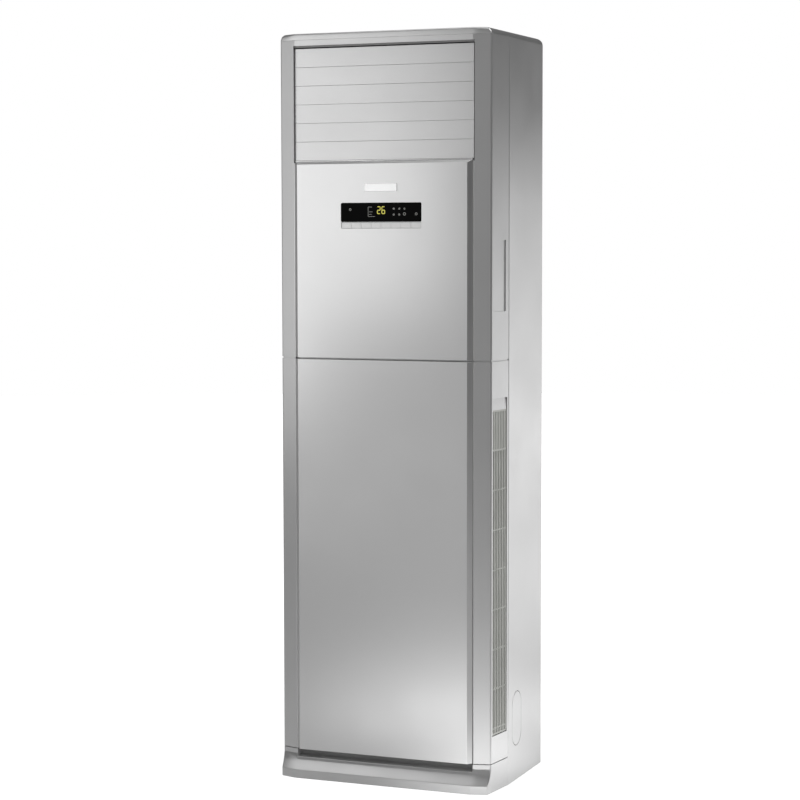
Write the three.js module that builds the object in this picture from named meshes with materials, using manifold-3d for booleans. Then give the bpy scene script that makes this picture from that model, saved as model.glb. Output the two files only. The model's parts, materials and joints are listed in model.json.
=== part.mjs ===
// Floor standing air conditioner: a tall cabinet with a centrifugal fan low down, a slanted
// cooling coil above it, and an outlet with swinging louvers at the top of the front.
// Millimetres, +Z up. The origin is on the floor at the middle of the outline. The front faces -Y.

import * as THREE from 'three';
import { mergeVertices } from 'three/addons/utils/BufferGeometryUtils.js';
import Module from 'manifold-3d';

const wasm = await Module();
wasm.setup();

// ---------------------------------------------------------------- driving dimensions
// Whole cabinet
const WIDTH = 587;
const DEPTH = 394;
const HEIGHT = 1882;
const CLEAR = 0.3;            // gap kept between two pieces that touch
const WALL = 2.5;             // moulded plastic
const SHEET = 1.2;            // painted steel sheet
const PLINTH_REACH = 19;      // the foot of the plinth stands this far before the front casing

// Front casing in plan
const COLUMN_WIDTH = 44.5;    // each angled front column, measured along X
const COLUMN_SETBACK = 11.8;  // how far the column falls back over that width
const SIDE_TAPER = 12;        // the side strip closes in this much towards the front
const STRIP_LENGTH = 93.9;    // the side strip, measured along Y
const LEDGE_DEPTH = 11.3;     // the ledge that the front panels lie on
const COLUMN_EDGE = 3;        // radius of the column's edge beside the panels
const CORNER_EDGE = 6;        // radius where the column turns into the side strip

// Heights of the seams
const PLINTH_HEIGHT = 72;
const SLOT_FLOOR = 53;        // floor of the dark slot under the lower panel
const SLOT_DEPTH = 30;        // behind the front panels
const SLOT_CEILING = 2.5;     // the rear part of the slot is roofed over
const LIP_HEIGHT = 22;        // upright foot of the plinth
const MID_SEAM = 1072.5;      // middle of the seam between lower and upper casing
const SEAM_GAP = 4;
const TOP_COVER_HEIGHT = 16;  // also the radius of its side and rear edges
const TOP_FRONT_RADIUS = 4;

// Front panels
const PANEL_SKIN = 2;
const PANEL_DEPTH = 11;       // part of the panel that is sunk between the columns
const PANEL_PROUD = 12;       // the flat face stands this far before the columns
const PANEL_BEVEL = 9.5;
const PANEL_TOP_BEVEL = 7;
const PANEL_SIDE_GAP = 0.6;
const PANEL_FOOT = 2;         // the lower panel starts this far above the plinth

// Display, badge and buttons on the upper panel
const DISPLAY_OFFSET = 0;     // from the middle of the panel
const DISPLAY_WIDTH = 214;
const DISPLAY_HEIGHT = 46.5;
const DISPLAY_DROP = 150.5;   // foot of the display below the top of the panel
const DISPLAY_CORNER = 3;
const WINDOW_THICKNESS = 2.7;
const BUTTON_COUNT = 8;
const BUTTON_ROW_MARGIN = 1.4; // the row of buttons is this much shorter than the window, each side
const BUTTON_HEIGHT = 14.4;
const BUTTON_RECESS = 1.2;
const BUTTON_CAP = 3.6;
const BUTTON_TRAVEL = 0.8;
const BUTTON_GAP = 0.4;
const BUTTON_DROP = 1.5;      // web of the panel between window and buttons
const BADGE_WIDTH = 86;
const BADGE_HEIGHT = 19;
const BADGE_LIFT = 28.5;      // foot of the badge above the display
const BADGE_THICKNESS = 1.5;
const BOARD_THICKNESS = 1.6;
const BOARD_MARGIN = 5;

// Outlet, louvers and vanes
const TOP_BAR = 30;           // height of the bar above the outlet
const OUTLET_HEIGHT = 291;
const OUTLET_SIDE = 4;        // the duct is this much wider than the panel bay, each side
const DUCT_WALL = 3;
const LOUVER_COUNT = 6;
const LOUVER_GAP = 0.5;       // between two closed blades
const LOUVER_THICKNESS = 2.5;
const LOUVER_FOOT_GAP = 6;    // under the lowest blade
const LOUVER_HEAD_GAP = 7;    // over the highest blade, for the sweep of its corner
const LOUVER_SIDE_GAP = 4;    // blade end to duct wall
const LOUVER_RECESS = 8;      // closed blades lie this far behind the columns
const DUCT_LIP = 10;          // the duct starts this far behind the columns
const PIVOT_BACK = 18;        // louver axis behind the face of the blades
const PIN_RADIUS = 2.9;
const EAR_THICKNESS = 3.5;
const CRANK_RADIUS = 14;
const CRANK_ANGLE = 40;       // degrees above level at rest, so that half the swing is each way
const CRANK_PIN_RADIUS = 1.8;
const LINK_THICKNESS = 2;
const LINK_WIDTH = 8;
const VANE_COUNT = 5;
const VANE_CHORD = 60;
const VANE_THICKNESS = 2;
const VANE_PIVOT_BACK = 79;   // vane axis behind the front face
const VANE_END_GAP = 1.5;
const VANE_PIN_RADIUS = 2.5;
const VANE_CRANK = 20;
const VANE_NOTCH_START = 12;
const VANE_NOTCH_HEIGHT = 13;
const VANE_LINK_WIDTH = 10;
const VANE_LINK_THICKNESS = 3;
const VANE_LINK_LIFT = 6;     // underside of the link above the duct floor
const DUCT_BACK = 112;        // rear edge of the duct behind the front face
const STEP_MOTOR_RADIUS = 14;
const STEP_MOTOR_LENGTH = 19;
const STEP_MOTOR_OFFSET = 8;  // output shaft beside the middle of the motor

// Air intake grilles in the side strips
const GRILLE_START = 7;       // along the strip, from its front corner
const GRILLE_END = 7;         // from its rear corner
const GRILLE_LIFT = 69;       // foot of the grille above the plinth
const GRILLE_DROP = 119.5;    // top of the slats below the top of the lower casing
const SCOOP_HEIGHT = 29;      // finger scoop over the grille
const SCOOP_DEPTH = 6;
const GRILLE_INSET = 1.5;
const GRILLE_DEPTH = 7.5;
const GRILLE_BORDER = 4.5;
const GRILLE_GAP = 0.5;
const GRILLE_FOOT_GAP = 1.5;
const SLAT_PITCH = 9;
const SLAT_SLOT = 4;
const RIB_PITCH = 99;
const RIB_HEIGHT = 4;
const RIB_DEPTH = 3;
const RIB_INSET = 0.6;        // the ribs lie just under the face of the slats
const BLIND_GROOVE = 1.2;     // depth of the grooves in the closed top bay of the grille
const FILTER_THICKNESS = 4.5;
const FILTER_MARGIN = 3;
const FILTER_PANES = 4;
const TAB_HEIGHT = 12;
const TAB_WIDTH = 12;
const TAB_THICKNESS = 2;

// Hand grips in the upper side strips
const GRIP_START = 8;
const GRIP_END = 16;          // from its rear corner
const GRIP_LIFT = 118.5;      // above the foot of the upper casing
const GRIP_HEIGHT = 175;
const GRIP_DEPTH = 9;         // of the finger pocket at the top of the grip
const GRIP_FOOT_DEPTH = 2.5;  // the hollow runs out to this at its foot
const GRIP_POCKET = 60;       // height of the pocket

// Rear sheet metal
const REAR_CORNER = 8;
const SEAM_EDGE = 5;          // radius of the side sheet's front edge
const REAR_FLANGE = 24;
const FRONT_FLANGE = 14;
const KNOCKOUT_WIDTH = 71;
const KNOCKOUT_HEIGHT = 140;
const KNOCKOUT_BOTTOM = 88;
const KNOCKOUT_START = 138;   // behind the front face
const BRACKET_WIDTH = 90;
const BRACKET_HEIGHT = 60;
const BRACKET_DROP = 50;      // under the top of the cabinet
const GLAND_RADIUS = 11;
const GLAND_BORE = 6;
const GLAND_LENGTH = 20;
const GLAND_HEIGHT = 120;
const GLAND_FROM_SIDE = 93.5;
const BASE_RIM = 20;

// Fan
const FAN_HEIGHT = 430;       // axis above the floor
const FAN_SIDE_GAP = 55.5;    // scroll to the side of the cabinet
const WHEEL_BLADES = 32;
const WHEEL_BLADE_DEPTH = 28;
const WHEEL_BLADE_THICKNESS = 2;
const WHEEL_DISC = 3;
const WHEEL_DISH = 8;         // the rear disc is drawn forward this much
const WHEEL_RING = 12;
const HUB_RADIUS = 26;
const HUB_LENGTH = 40;
const SHAFT_RADIUS = 8;
const NUT_RADIUS = 14;
const NUT_LENGTH = 10;
const SCROLL_SET_BACK = 140;  // front of the scroll behind the front panels
const SCROLL_DEPTH = 165;
const SCROLL_WALL = 3;
const TONGUE_GAP = 20;        // scroll to wheel at the tongue
const SCROLL_GROWTH = 35;     // what the spiral gains from the tongue to the discharge
const TONGUE_ANGLE = 50;
const SCROLL_DROP = 140;      // mouth of the scroll below the top of the lower casing
const WHEEL_FRONT_GAP = 8;
const WHEEL_REAR_GAP = 11;
const REAR_HOLE_RADIUS = 60;
const LEG_SPREAD = 0.75;      // the legs stand this share of the wheel radius out
const LEG_FOOT = 20;
const BELL_FLANGE = 24;
const BELL_RISE = 14;
const MOTOR_RADIUS = 70;
const MOTOR_LENGTH = 56;
const MOTOR_PLATE = 170;

// Cooling coil and water
const COIL_END_ROOM = 20;     // between the core and the wall of the drain pan, each side
const COIL_THICKNESS = 55;
const COIL_LENGTH = 600;
const COIL_BACK_GAP = 7;      // top of the coil to the back sheet, which sets how far it leans
const COIL_FOOT = 73;         // middle of the foot behind the front panels
const END_PLATE = 1.5;
const END_PLATE_RIM = 5;      // the end plate stands out of the core this much, front and back
const BEND_COUNT = 6;
const BEND_TUBE = 4.5;
const BEND_RADIUS = 9;
const PAN_SIDE_GAP = 30.5;    // pan to the outside of the cabinet
const PAN_HEIGHT = 45;
const PAN_WALL = 3;
const PAN_CURB = 22;          // height of the rim round the air opening
const SPOUT_FROM_SIDE = 38;   // spout to the side of the pan
const SPOUT_FROM_FRONT = 39;
const SPOUT_RADIUS = 8;
const SPOUT_BORE = 5.5;
const SPOUT_LENGTH = 22;
const HOSE_WALL = 2.2;
const GAS_RADIUS = 8;
const LIQUID_RADIUS = 5;
const PIPE_GAP = 5;           // pipe to the side of the pan
const GAS_FROM_BACK = 24;
const LIQUID_FROM_BACK = 56;
const PIPE_END = 250;

// Electrics
const SERVICE_HALF_WIDTH = 190;
const SERVICE_MARGIN = 30;
const EBOX_OVERLAP = 5;
const EBOX_LIFT = 40.5;       // above the foot of the upper casing
const EBOX_DROP = 176;        // its top below the foot of the outlet
const EBOX_DEPTH = 60;
const EBOX_WALL = 2;
const TERMINAL_WIDTH = 130;
const TERMINAL_HEIGHT = 26;
const TERMINAL_DEPTH = 20;
const TERMINAL_LIFT = 40;     // above the floor of the electric box
const TERMINAL_WAYS = 6;

// ---------------------------------------------------------------- values worked out from them
const FRONT = -DEPTH / 2 + PLINTH_REACH;
const BACK = DEPTH / 2;
const HALF = WIDTH / 2;
const COLUMN_OUTER = HALF - SIDE_TAPER;
const BAY = COLUMN_OUTER - COLUMN_WIDTH;             // half width of the bay for the panels
const STRIP_FRONT = FRONT + COLUMN_SETBACK;
const STRIP_BACK = STRIP_FRONT + STRIP_LENGTH;
const STRIP_ANGLE = Math.atan2(SIDE_TAPER, STRIP_LENGTH);
const LOWER_TOP = MID_SEAM - SEAM_GAP / 2;
const UPPER_BOTTOM = MID_SEAM + SEAM_GAP / 2;
const COVER_BOTTOM = HEIGHT - TOP_COVER_HEIGHT;
const BODY_TOP = COVER_BOTTOM - CLEAR;
const PANEL_HALF = BAY - PANEL_SIDE_GAP;
const PANEL_FACE = FRONT - PANEL_PROUD;
const OUTLET_TOP = HEIGHT - TOP_BAR;
const OUTLET_BOTTOM = OUTLET_TOP - OUTLET_HEIGHT;
const OUTLET_HALF = BAY + OUTLET_SIDE;
const PANEL_TOP = OUTLET_BOTTOM + 3;
const DISPLAY_BOTTOM = PANEL_TOP - DISPLAY_DROP;
const BADGE_BOTTOM = DISPLAY_BOTTOM + DISPLAY_HEIGHT + BADGE_LIFT;
const LEDGE_BACK = FRONT + LEDGE_DEPTH + WALL;
const LOUVER_BOTTOM = OUTLET_BOTTOM + LOUVER_FOOT_GAP;
const LOUVER_AXIS = FRONT + LOUVER_RECESS + PIVOT_BACK;
const LOUVER_PITCH = (OUTLET_HEIGHT - LOUVER_FOOT_GAP - LOUVER_HEAD_GAP) / LOUVER_COUNT;
const GRILLE_WIDTH = STRIP_LENGTH - GRILLE_START - GRILLE_END;
const GRILLE_BOTTOM = PLINTH_HEIGHT + GRILLE_LIFT;
const GRILLE_TOP = LOWER_TOP - GRILLE_DROP;
const GRIP_WIDTH = STRIP_LENGTH - GRIP_START - GRIP_END;
const GRIP_BOTTOM = UPPER_BOTTOM + GRIP_LIFT;
const GRIP_TOP = GRIP_BOTTOM + GRIP_HEIGHT;
const EBOX_BOTTOM = UPPER_BOTTOM + EBOX_LIFT;
const EBOX_TOP = OUTLET_BOTTOM - EBOX_DROP;
const WHEEL_RADIUS = HALF - FAN_SIDE_GAP - SCROLL_WALL - SCROLL_GROWTH - TONGUE_GAP;
const SCROLL_FRONT = FRONT + SCROLL_SET_BACK;
const SCROLL_BACK = SCROLL_FRONT + SCROLL_DEPTH;
const SCROLL_START = WHEEL_RADIUS + TONGUE_GAP;
const SCROLL_END = SCROLL_START + SCROLL_GROWTH;
const SCROLL_TOP = LOWER_TOP - SCROLL_DROP;
const BELL_THROAT = WHEEL_RADIUS - WHEEL_BLADE_DEPTH - 2;
const EYE_RADIUS = BELL_THROAT + WALL + 3;
const LEG_X = WHEEL_RADIUS * LEG_SPREAD;
const PAN_BOTTOM = SCROLL_TOP + CLEAR;
const PAN_FLOOR = PAN_BOTTOM + PAN_WALL;
const PAN_HALF = HALF - PAN_SIDE_GAP;
const PAN_FRONT = LEDGE_BACK + CLEAR;
const COIL_HALF = PAN_HALF - PAN_WALL - COIL_END_ROOM;
const COIL_FOOT_Y = FRONT + COIL_FOOT;
const BACK_PANEL_REAR = BACK - SHEET - CLEAR;
const BACK_PANEL_FRONT = BACK_PANEL_REAR - SHEET;
const BACK_PANEL_HALF = HALF - REAR_CORNER - 1.5;
const PAN_BACK = BACK_PANEL_FRONT - CLEAR;
// The coil leans back until the rim of its end plate is the stated gap from the back sheet.
const COIL_RIM = COIL_THICKNESS / 2 + END_PLATE_RIM;
const COIL_REACH = BACK_PANEL_FRONT - COIL_BACK_GAP - COIL_FOOT_Y;
const COIL_DIAGONAL = Math.hypot(COIL_LENGTH, COIL_RIM);
const COIL_LEAN = Math.asin(COIL_REACH / COIL_DIAGONAL) - Math.atan2(COIL_RIM, COIL_LENGTH);
const GLAND_X = GLAND_FROM_SIDE - HALF;
const SPOUT_X = SPOUT_FROM_SIDE - PAN_HALF;
const SPOUT_Y = PAN_FRONT + SPOUT_FROM_FRONT;
const PIPE_X = PAN_HALF + PIPE_GAP;
const GAS_Y = BACK_PANEL_FRONT - GAS_FROM_BACK;
const LIQUID_Y = BACK_PANEL_FRONT - LIQUID_FROM_BACK;

// ---------------------------------------------------------------- helpers for geometry
const radians = THREE.MathUtils.degToRad;

// A closed three.js geometry becomes a solid that can be cut and joined.
function solid(geometry) {
  const bare = geometry.clone();
  bare.deleteAttribute('normal');
  bare.deleteAttribute('uv');
  const merged = mergeVertices(bare, 1e-4);
  const corners = merged.index.array;
  const kept = [];
  for (let i = 0; i < corners.length; i += 3) {
    const [a, b, c] = [corners[i], corners[i + 1], corners[i + 2]];
    if (a !== b && b !== c && c !== a) kept.push(a, b, c);
  }
  return new wasm.Manifold(new wasm.Mesh({
    numProp: 3,
    vertProperties: new Float32Array(merged.attributes.position.array),
    triVerts: new Uint32Array(kept),
  }));
}

function geometryOf(body) {
  const mesh = body.getMesh();
  const geometry = new THREE.BufferGeometry();
  geometry.setAttribute('position', new THREE.BufferAttribute(mesh.vertProperties, 3));
  geometry.setIndex(new THREE.BufferAttribute(mesh.triVerts, 1));
  return geometry;
}

// A solid moved by a matrix; a mirroring matrix also turns its triangles over.
function moved(body, matrix) {
  const geometry = geometryOf(body);
  geometry.applyMatrix4(matrix);
  if (matrix.determinant() < 0) {
    const order = geometry.index.array;
    for (let i = 0; i < order.length; i += 3) {
      [order[i], order[i + 1]] = [order[i + 1], order[i]];
    }
  }
  return solid(geometry);
}

const mirrored = (body) => moved(body, new THREE.Matrix4().makeScale(-1, 1, 1));
const shifted = (body, x, y, z) => moved(body, new THREE.Matrix4().makeTranslation(x, y, z));

function block(x0, x1, y0, y1, z0, z1) {
  const geometry = new THREE.BoxGeometry(x1 - x0, y1 - y0, z1 - z0);
  geometry.translate((x0 + x1) / 2, (y0 + y1) / 2, (z0 + z1) / 2);
  return solid(geometry);
}

const shapeOf = (points) => new THREE.Shape(points.map(([u, v]) => new THREE.Vector2(u, v)));

function extruded(shape, depth, steps) {
  return new THREE.ExtrudeGeometry(shape, { depth, bevelEnabled: false, curveSegments: steps ?? 6 });
}

// Plan outline (x, y) raised from z0 to z1.
function raised(shape, z0, z1, steps) {
  const geometry = extruded(shape, z1 - z0, steps);
  geometry.translate(0, 0, z0);
  return solid(geometry);
}

// Side outline (y, z) drawn out from x0 to x1.
function drawnAcross(shape, x0, x1, steps) {
  const geometry = extruded(shape, x1 - x0, steps);
  geometry.applyMatrix4(new THREE.Matrix4().set(0, 0, 1, x0, 1, 0, 0, 0, 0, 1, 0, 0, 0, 0, 0, 1));
  return solid(geometry);
}

// Front outline (x, z) drawn back from y0 to y1.
function drawnBack(shape, y0, y1, steps) {
  const geometry = extruded(shape, y1 - y0, steps);
  geometry.applyMatrix4(new THREE.Matrix4().set(1, 0, 0, 0, 0, 0, -1, y1, 0, 1, 0, 0, 0, 0, 0, 1));
  return solid(geometry);
}

// A cylinder between two values along one axis.
function rod(axis, radius, from, to, a, b, sides = 16) {
  const geometry = new THREE.CylinderGeometry(radius, radius, to - from, sides);
  const middle = (from + to) / 2;
  if (axis === 'x') geometry.rotateZ(-Math.PI / 2).translate(middle, a, b);
  if (axis === 'y') geometry.translate(a, middle, b);
  if (axis === 'z') geometry.rotateX(Math.PI / 2).translate(a, b, middle);
  return solid(geometry);
}

// A profile of [radius, y] points turned about the Y axis; it may be listed either way round.
function turned(profile, sides) {
  const points = profile.map(([r, y]) => new THREE.Vector2(r, y));
  if (THREE.ShapeUtils.area(points) < 0) points.reverse();
  return solid(new THREE.LatheGeometry(points, sides));
}

// A round or ring section carried along a smooth path.
function tube(points, radius, bore, steps, sides = 8) {
  const path = new THREE.CatmullRomCurve3(points.map((p) => new THREE.Vector3(...p)), false, 'centripetal');
  const ring = (r) => Array.from({ length: sides }, (_, i) => {
    const turn = (2 * Math.PI * i) / sides;
    return [r * Math.cos(turn), r * Math.sin(turn)];
  });
  const section = shapeOf(ring(radius));
  if (bore) section.holes.push(shapeOf(ring(bore).reverse()));
  return solid(new THREE.ExtrudeGeometry(section, { steps, extrudePath: path, bevelEnabled: false }));
}

// Rings of equal point count, given in order, skinned and capped.
function loft(rings) {
  const count = rings[0].length;
  const position = rings.flat().flatMap((p) => [...p]);
  const index = [];
  for (let r = 0; r + 1 < rings.length; r += 1) {
    for (let i = 0; i < count; i += 1) {
      const j = (i + 1) % count;
      const [a, b, c, d] = [r * count + i, r * count + j, (r + 1) * count + j, (r + 1) * count + i];
      index.push(a, b, c, a, c, d);
    }
  }
  const flat = (ring) => ring.map(([x, y, z]) => new THREE.Vector2(x, ring.flatAxis === 'y' ? z : y));
  const cap = (ring) => THREE.ShapeUtils.triangulateShape(flat(ring), []);
  const last = (rings.length - 1) * count;
  for (const [a, b, c] of cap(rings[0])) index.push(a, c, b);
  for (const [a, b, c] of cap(rings[rings.length - 1])) index.push(last + a, last + b, last + c);
  const geometry = new THREE.BufferGeometry();
  geometry.setAttribute('position', new THREE.Float32BufferAttribute(position, 3));
  geometry.setIndex(index);
  return solid(geometry);
}

const joined = (...bodies) => bodies.reduce((a, b) => a.add(b));
const cut = (body, ...tools) => tools.reduce((a, b) => a.subtract(b), body);

// An open run of plan points, moved sideways by a distance to its left.
function offsetRun(points, distance) {
  const normals = [];
  for (let i = 0; i + 1 < points.length; i += 1) {
    const dx = points[i + 1][0] - points[i][0];
    const dy = points[i + 1][1] - points[i][1];
    const length = Math.hypot(dx, dy);
    normals.push([-dy / length, dx / length]);
  }
  return points.map(([x, y], i) => {
    const before = normals[Math.max(i - 1, 0)];
    const after = normals[Math.min(i, normals.length - 1)];
    const scale = distance / (1 + before[0] * after[0] + before[1] * after[1]);
    return [x + (before[0] + after[0]) * scale, y + (before[1] + after[1]) * scale];
  });
}

// A wall that follows an open run of points, from one offset to another.
function wallShape(points, from, to) {
  return shapeOf([...offsetRun(points, from), ...offsetRun(points, to).reverse()]);
}

// ---------------------------------------------------------------- finishes
const finish = (color, roughness, metalness) => (
  new THREE.MeshStandardMaterial({ color, roughness, metalness })
);
const silver = finish(0xc9cacb, 0.38, 0.55);
const panelSilver = finish(0xd2d3d4, 0.32, 0.65);
const trimSilver = finish(0xe2e3e4, 0.3, 0.4);
const grilleGrey = finish(0x9a9b9b, 0.6, 0.1);
const blackGloss = finish(0x050506, 0.08, 0.0);
const darkPlastic = finish(0x3a3b3d, 0.6, 0.0);
const whitePlastic = finish(0xe6e6e2, 0.5, 0.0);
const galvanised = finish(0xb3b6b8, 0.45, 0.8);
const copper = finish(0xb87045, 0.35, 1.0);
const aluminium = finish(0xcfd2d4, 0.4, 0.9);
const boardGreen = finish(0x1f5a37, 0.5, 0.0);
const filterBlue = finish(0x55646e, 0.85, 0.0);
const rubberGrey = finish(0x8c8f90, 0.8, 0.0);

const cabinet = new THREE.Group();

function place(name, body, material, parent = cabinet) {
  const mesh = new THREE.Mesh(geometryOf(body), material);
  mesh.name = name;
  parent.add(mesh);
  return mesh;
}

// A corner of an open run replaced by a round edge of a given radius.
function roundedCorner(before, corner, after, radius, steps = 3) {
  const towards = (to) => new THREE.Vector2(to[0] - corner[0], to[1] - corner[1]).normalize();
  const [u, v] = [towards(before), towards(after)];
  const half = Math.acos(u.dot(v)) / 2;
  const reach = radius / Math.tan(half);
  const middle = u.clone().add(v).normalize().multiplyScalar(radius / Math.sin(half));
  const start = u.clone().multiplyScalar(reach).sub(middle);
  const end = v.clone().multiplyScalar(reach).sub(middle);
  const turn = start.cross(end) > 0 ? 1 : -1;
  const sweep = turn * (Math.PI - 2 * half);
  return Array.from({ length: steps + 1 }, (_, i) => {
    const spoke = start.clone().rotateAround(new THREE.Vector2(), (sweep * i) / steps);
    return [corner[0] + middle.x + spoke.x, corner[1] + middle.y + spoke.y];
  });
}

// ---------------------------------------------------------------- plan outlines
// The front casing seen from above, from the right rear seam round to the left rear seam.
function frontRun(reach, withLedge, columnEdge = COLUMN_EDGE) {
  const seam = [HALF, STRIP_BACK];
  const corner = [COLUMN_OUTER - reach * Math.tan(STRIP_ANGLE), STRIP_FRONT - reach];
  const inner = [BAY, FRONT - reach];
  const ledge = [BAY, FRONT + LEDGE_DEPTH];
  const right = [seam, ...roundedCorner(seam, corner, inner, CORNER_EDGE)];
  if (withLedge && columnEdge) right.push(...roundedCorner(corner, inner, ledge, columnEdge));
  else right.push(inner);
  if (withLedge) right.push(ledge);
  const left = right.map(([x, y]) => [-x, y]).reverse();
  return [...right, ...left];
}

// Points on a side strip: out from its face, back along it, and up.
const stripFrame = new THREE.Matrix4().makeBasis(
  new THREE.Vector3(Math.cos(STRIP_ANGLE), -Math.sin(STRIP_ANGLE), 0),
  new THREE.Vector3(Math.sin(STRIP_ANGLE), Math.cos(STRIP_ANGLE), 0),
  new THREE.Vector3(0, 0, 1),
).setPosition(COLUMN_OUTER, STRIP_FRONT, 0);
const onRightStrip = (body) => moved(body, stripFrame);

// ---------------------------------------------------------------- front casings
const casingRun = frontRun(0, true);
// The runs go from right to left round the front, so inside the cabinet is a negative offset.
function wallBetween(run, from, to, z0, z1) {
  const wall = raised(wallShape(run, -from, -to), z0, z1);
  return cut(wall, block(-HALF - 5, HALF + 5, STRIP_BACK, STRIP_BACK + 20, z0 - 5, z1 + 5));
}

function grilleOpening() {
  return onRightStrip(block(-GRILLE_INSET - GRILLE_DEPTH - 8, 5, GRILLE_START,
    GRILLE_START + GRILLE_WIDTH, GRILLE_BOTTOM, GRILLE_TOP + SCOOP_HEIGHT));
}

function lowerCasing() {
  const shell = wallBetween(casingRun, 0, WALL, PLINTH_HEIGHT + CLEAR, LOWER_TOP);
  const service = block(-SERVICE_HALF_WIDTH, SERVICE_HALF_WIDTH, FRONT - 5, LEDGE_BACK + 5,
    PLINTH_HEIGHT + SERVICE_MARGIN, LOWER_TOP - SERVICE_MARGIN);
  const opening = grilleOpening();
  return cut(shell, service, opening, mirrored(opening));
}

function gripPocket() {
  // The floor of the hollow runs level down the pocket, then out to the foot of the grip.
  const profile = (margin, face) => shapeOf([[face, GRIP_BOTTOM - margin], [face, GRIP_TOP + margin],
    [-GRIP_DEPTH - margin, GRIP_TOP + margin], [-GRIP_DEPTH - margin, GRIP_TOP - GRIP_POCKET],
    [-GRIP_FOOT_DEPTH - margin, GRIP_BOTTOM - margin]]);
  const outside = drawnBack(profile(WALL, -WALL / 2), GRIP_START - WALL, GRIP_START + GRIP_WIDTH + WALL);
  const hollow = drawnBack(profile(0, 5), GRIP_START, GRIP_START + GRIP_WIDTH);
  return { outside: onRightStrip(outside), hollow: onRightStrip(hollow) };
}

function upperCasing() {
  const shell = wallBetween(casingRun, 0, WALL, UPPER_BOTTOM, OUTLET_TOP);
  const topBar = wallBetween(frontRun(0, false), 0, WALL, OUTLET_TOP, BODY_TOP);
  // A tongue behind the seam hides the inside and guides the lower casing.
  const inside = frontRun(0, true, 0);
  const tongue = wallBetween(inside, WALL + CLEAR, 2 * WALL + CLEAR, UPPER_BOTTOM - 12, UPPER_BOTTOM + 8);
  const root = wallBetween(inside, WALL / 2, 2 * WALL + CLEAR, UPPER_BOTTOM, UPPER_BOTTOM + 8);
  const edge = OUTLET_HALF + DUCT_WALL + CLEAR;
  const outlet = block(-OUTLET_HALF, OUTLET_HALF, FRONT - 5, LEDGE_BACK + 5, OUTLET_BOTTOM, OUTLET_TOP);
  const ductRoom = block(-edge, edge, FRONT + DUCT_LIP - CLEAR, LEDGE_BACK + 5, OUTLET_BOTTOM, OUTLET_TOP);
  // Returns round the outlet: a lip before each end of the duct and a shelf over it.
  const cheek = block(OUTLET_HALF, OUTLET_HALF + WALL, FRONT + 2, FRONT + DUCT_LIP - CLEAR,
    OUTLET_BOTTOM, OUTLET_TOP);
  const shelf = block(-BAY, BAY, FRONT + WALL / 2, LEDGE_BACK, OUTLET_TOP, OUTLET_TOP + WALL);
  const service = block(-SERVICE_HALF_WIDTH, SERVICE_HALF_WIDTH, FRONT - 5, LEDGE_BACK + 5,
    UPPER_BOTTOM + SERVICE_MARGIN, OUTLET_BOTTOM - SERVICE_MARGIN);
  const grip = gripPocket();
  const whole = joined(shell, topBar, tongue, root, shelf, cheek, mirrored(cheek),
    grip.outside, mirrored(grip.outside));
  return cut(whole, outlet, ductRoom, service, grip.hollow, mirrored(grip.hollow));
}

place('lower_casing', lowerCasing(), silver);
place('upper_casing', upperCasing(), silver);

// ---------------------------------------------------------------- plinth
// Reach of the plinth before the casing at a height: an upright lip, then a hollow curve back.
function plinthReach(z) {
  if (z <= LIP_HEIGHT) return PLINTH_REACH;
  const climb = Math.min((z - LIP_HEIGHT) / (PLINTH_HEIGHT - 12 - LIP_HEIGHT), 1);
  return PLINTH_REACH * (1 - climb) ** 1.5;
}

function plinthCover() {
  const levels = [0, LIP_HEIGHT, 30, 38, 46, PLINTH_HEIGHT - 12, PLINTH_HEIGHT];
  const ringAt = (z, inset, height) => {
    const run = offsetRun(frontRun(plinthReach(z), false), -inset).reverse();
    const rear = inset ? STRIP_BACK + 5 : STRIP_BACK;
    run[0] = [run[0][0], rear];
    run[run.length - 1] = [run[run.length - 1][0], rear];
    return run.map(([x, y]) => [x, y, height]);
  };
  const outside = loft(levels.map((z) => ringAt(z, 0, z)));
  const insideHeight = (z) => (z === 0 ? -5 : Math.min(z, PLINTH_HEIGHT - WALL));
  const inside = loft(levels.map((z) => ringAt(z, WALL, insideHeight(z))));
  const ahead = FRONT - PLINTH_REACH - 5;
  const slotBack = FRONT + SLOT_DEPTH;
  const slot = joined(
    block(-BAY, BAY, ahead, FRONT + LEDGE_DEPTH, SLOT_FLOOR, PLINTH_HEIGHT + 5),
    block(-BAY, BAY, ahead, slotBack, SLOT_FLOOR, PLINTH_HEIGHT - SLOT_CEILING),
  );
  const lining = block(-BAY - WALL, BAY + WALL, ahead, slotBack + WALL, SLOT_FLOOR - WALL, PLINTH_HEIGHT + 5);
  return cut(outside, cut(inside, lining), slot);
}

place('plinth_cover', plinthCover(), silver);

// ---------------------------------------------------------------- base pan
function basePan() {
  const frontHalf = COLUMN_OUTER - PLINTH_REACH * Math.tan(STRIP_ANGLE) - WALL - 3;
  const rearHalf = HALF - SHEET - CLEAR;
  const step = STRIP_BACK + CLEAR + SHEET + CLEAR;
  const rear = BACK_PANEL_FRONT - CLEAR;
  const frontEdge = -DEPTH / 2 + WALL + CLEAR;
  const right = [[frontHalf, STRIP_FRONT], [frontHalf, step], [rearHalf - SEAM_EDGE, step],
    [rearHalf, step + SEAM_EDGE], [rearHalf, rear - REAR_CORNER], [rearHalf - REAR_CORNER, rear]];
  const nose = [BAY - WALL, frontEdge];
  const outline = (inset) => {
    const points = [nose, ...right].map(([x, y]) => [x, y]);
    const whole = [...points, ...points.map(([x, y]) => [-x, y]).reverse()];
    const closed = [...whole, whole[0], whole[1]];
    return offsetRun(closed, inset).slice(1, -1);
  };
  const tray = raised(shapeOf(outline(0)), 0, BASE_RIM);
  const hollow = raised(shapeOf(outline(SHEET)), SHEET, BASE_RIM + 5);
  return cut(tray, hollow);
}

place('base_pan', basePan(), galvanised);

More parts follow.
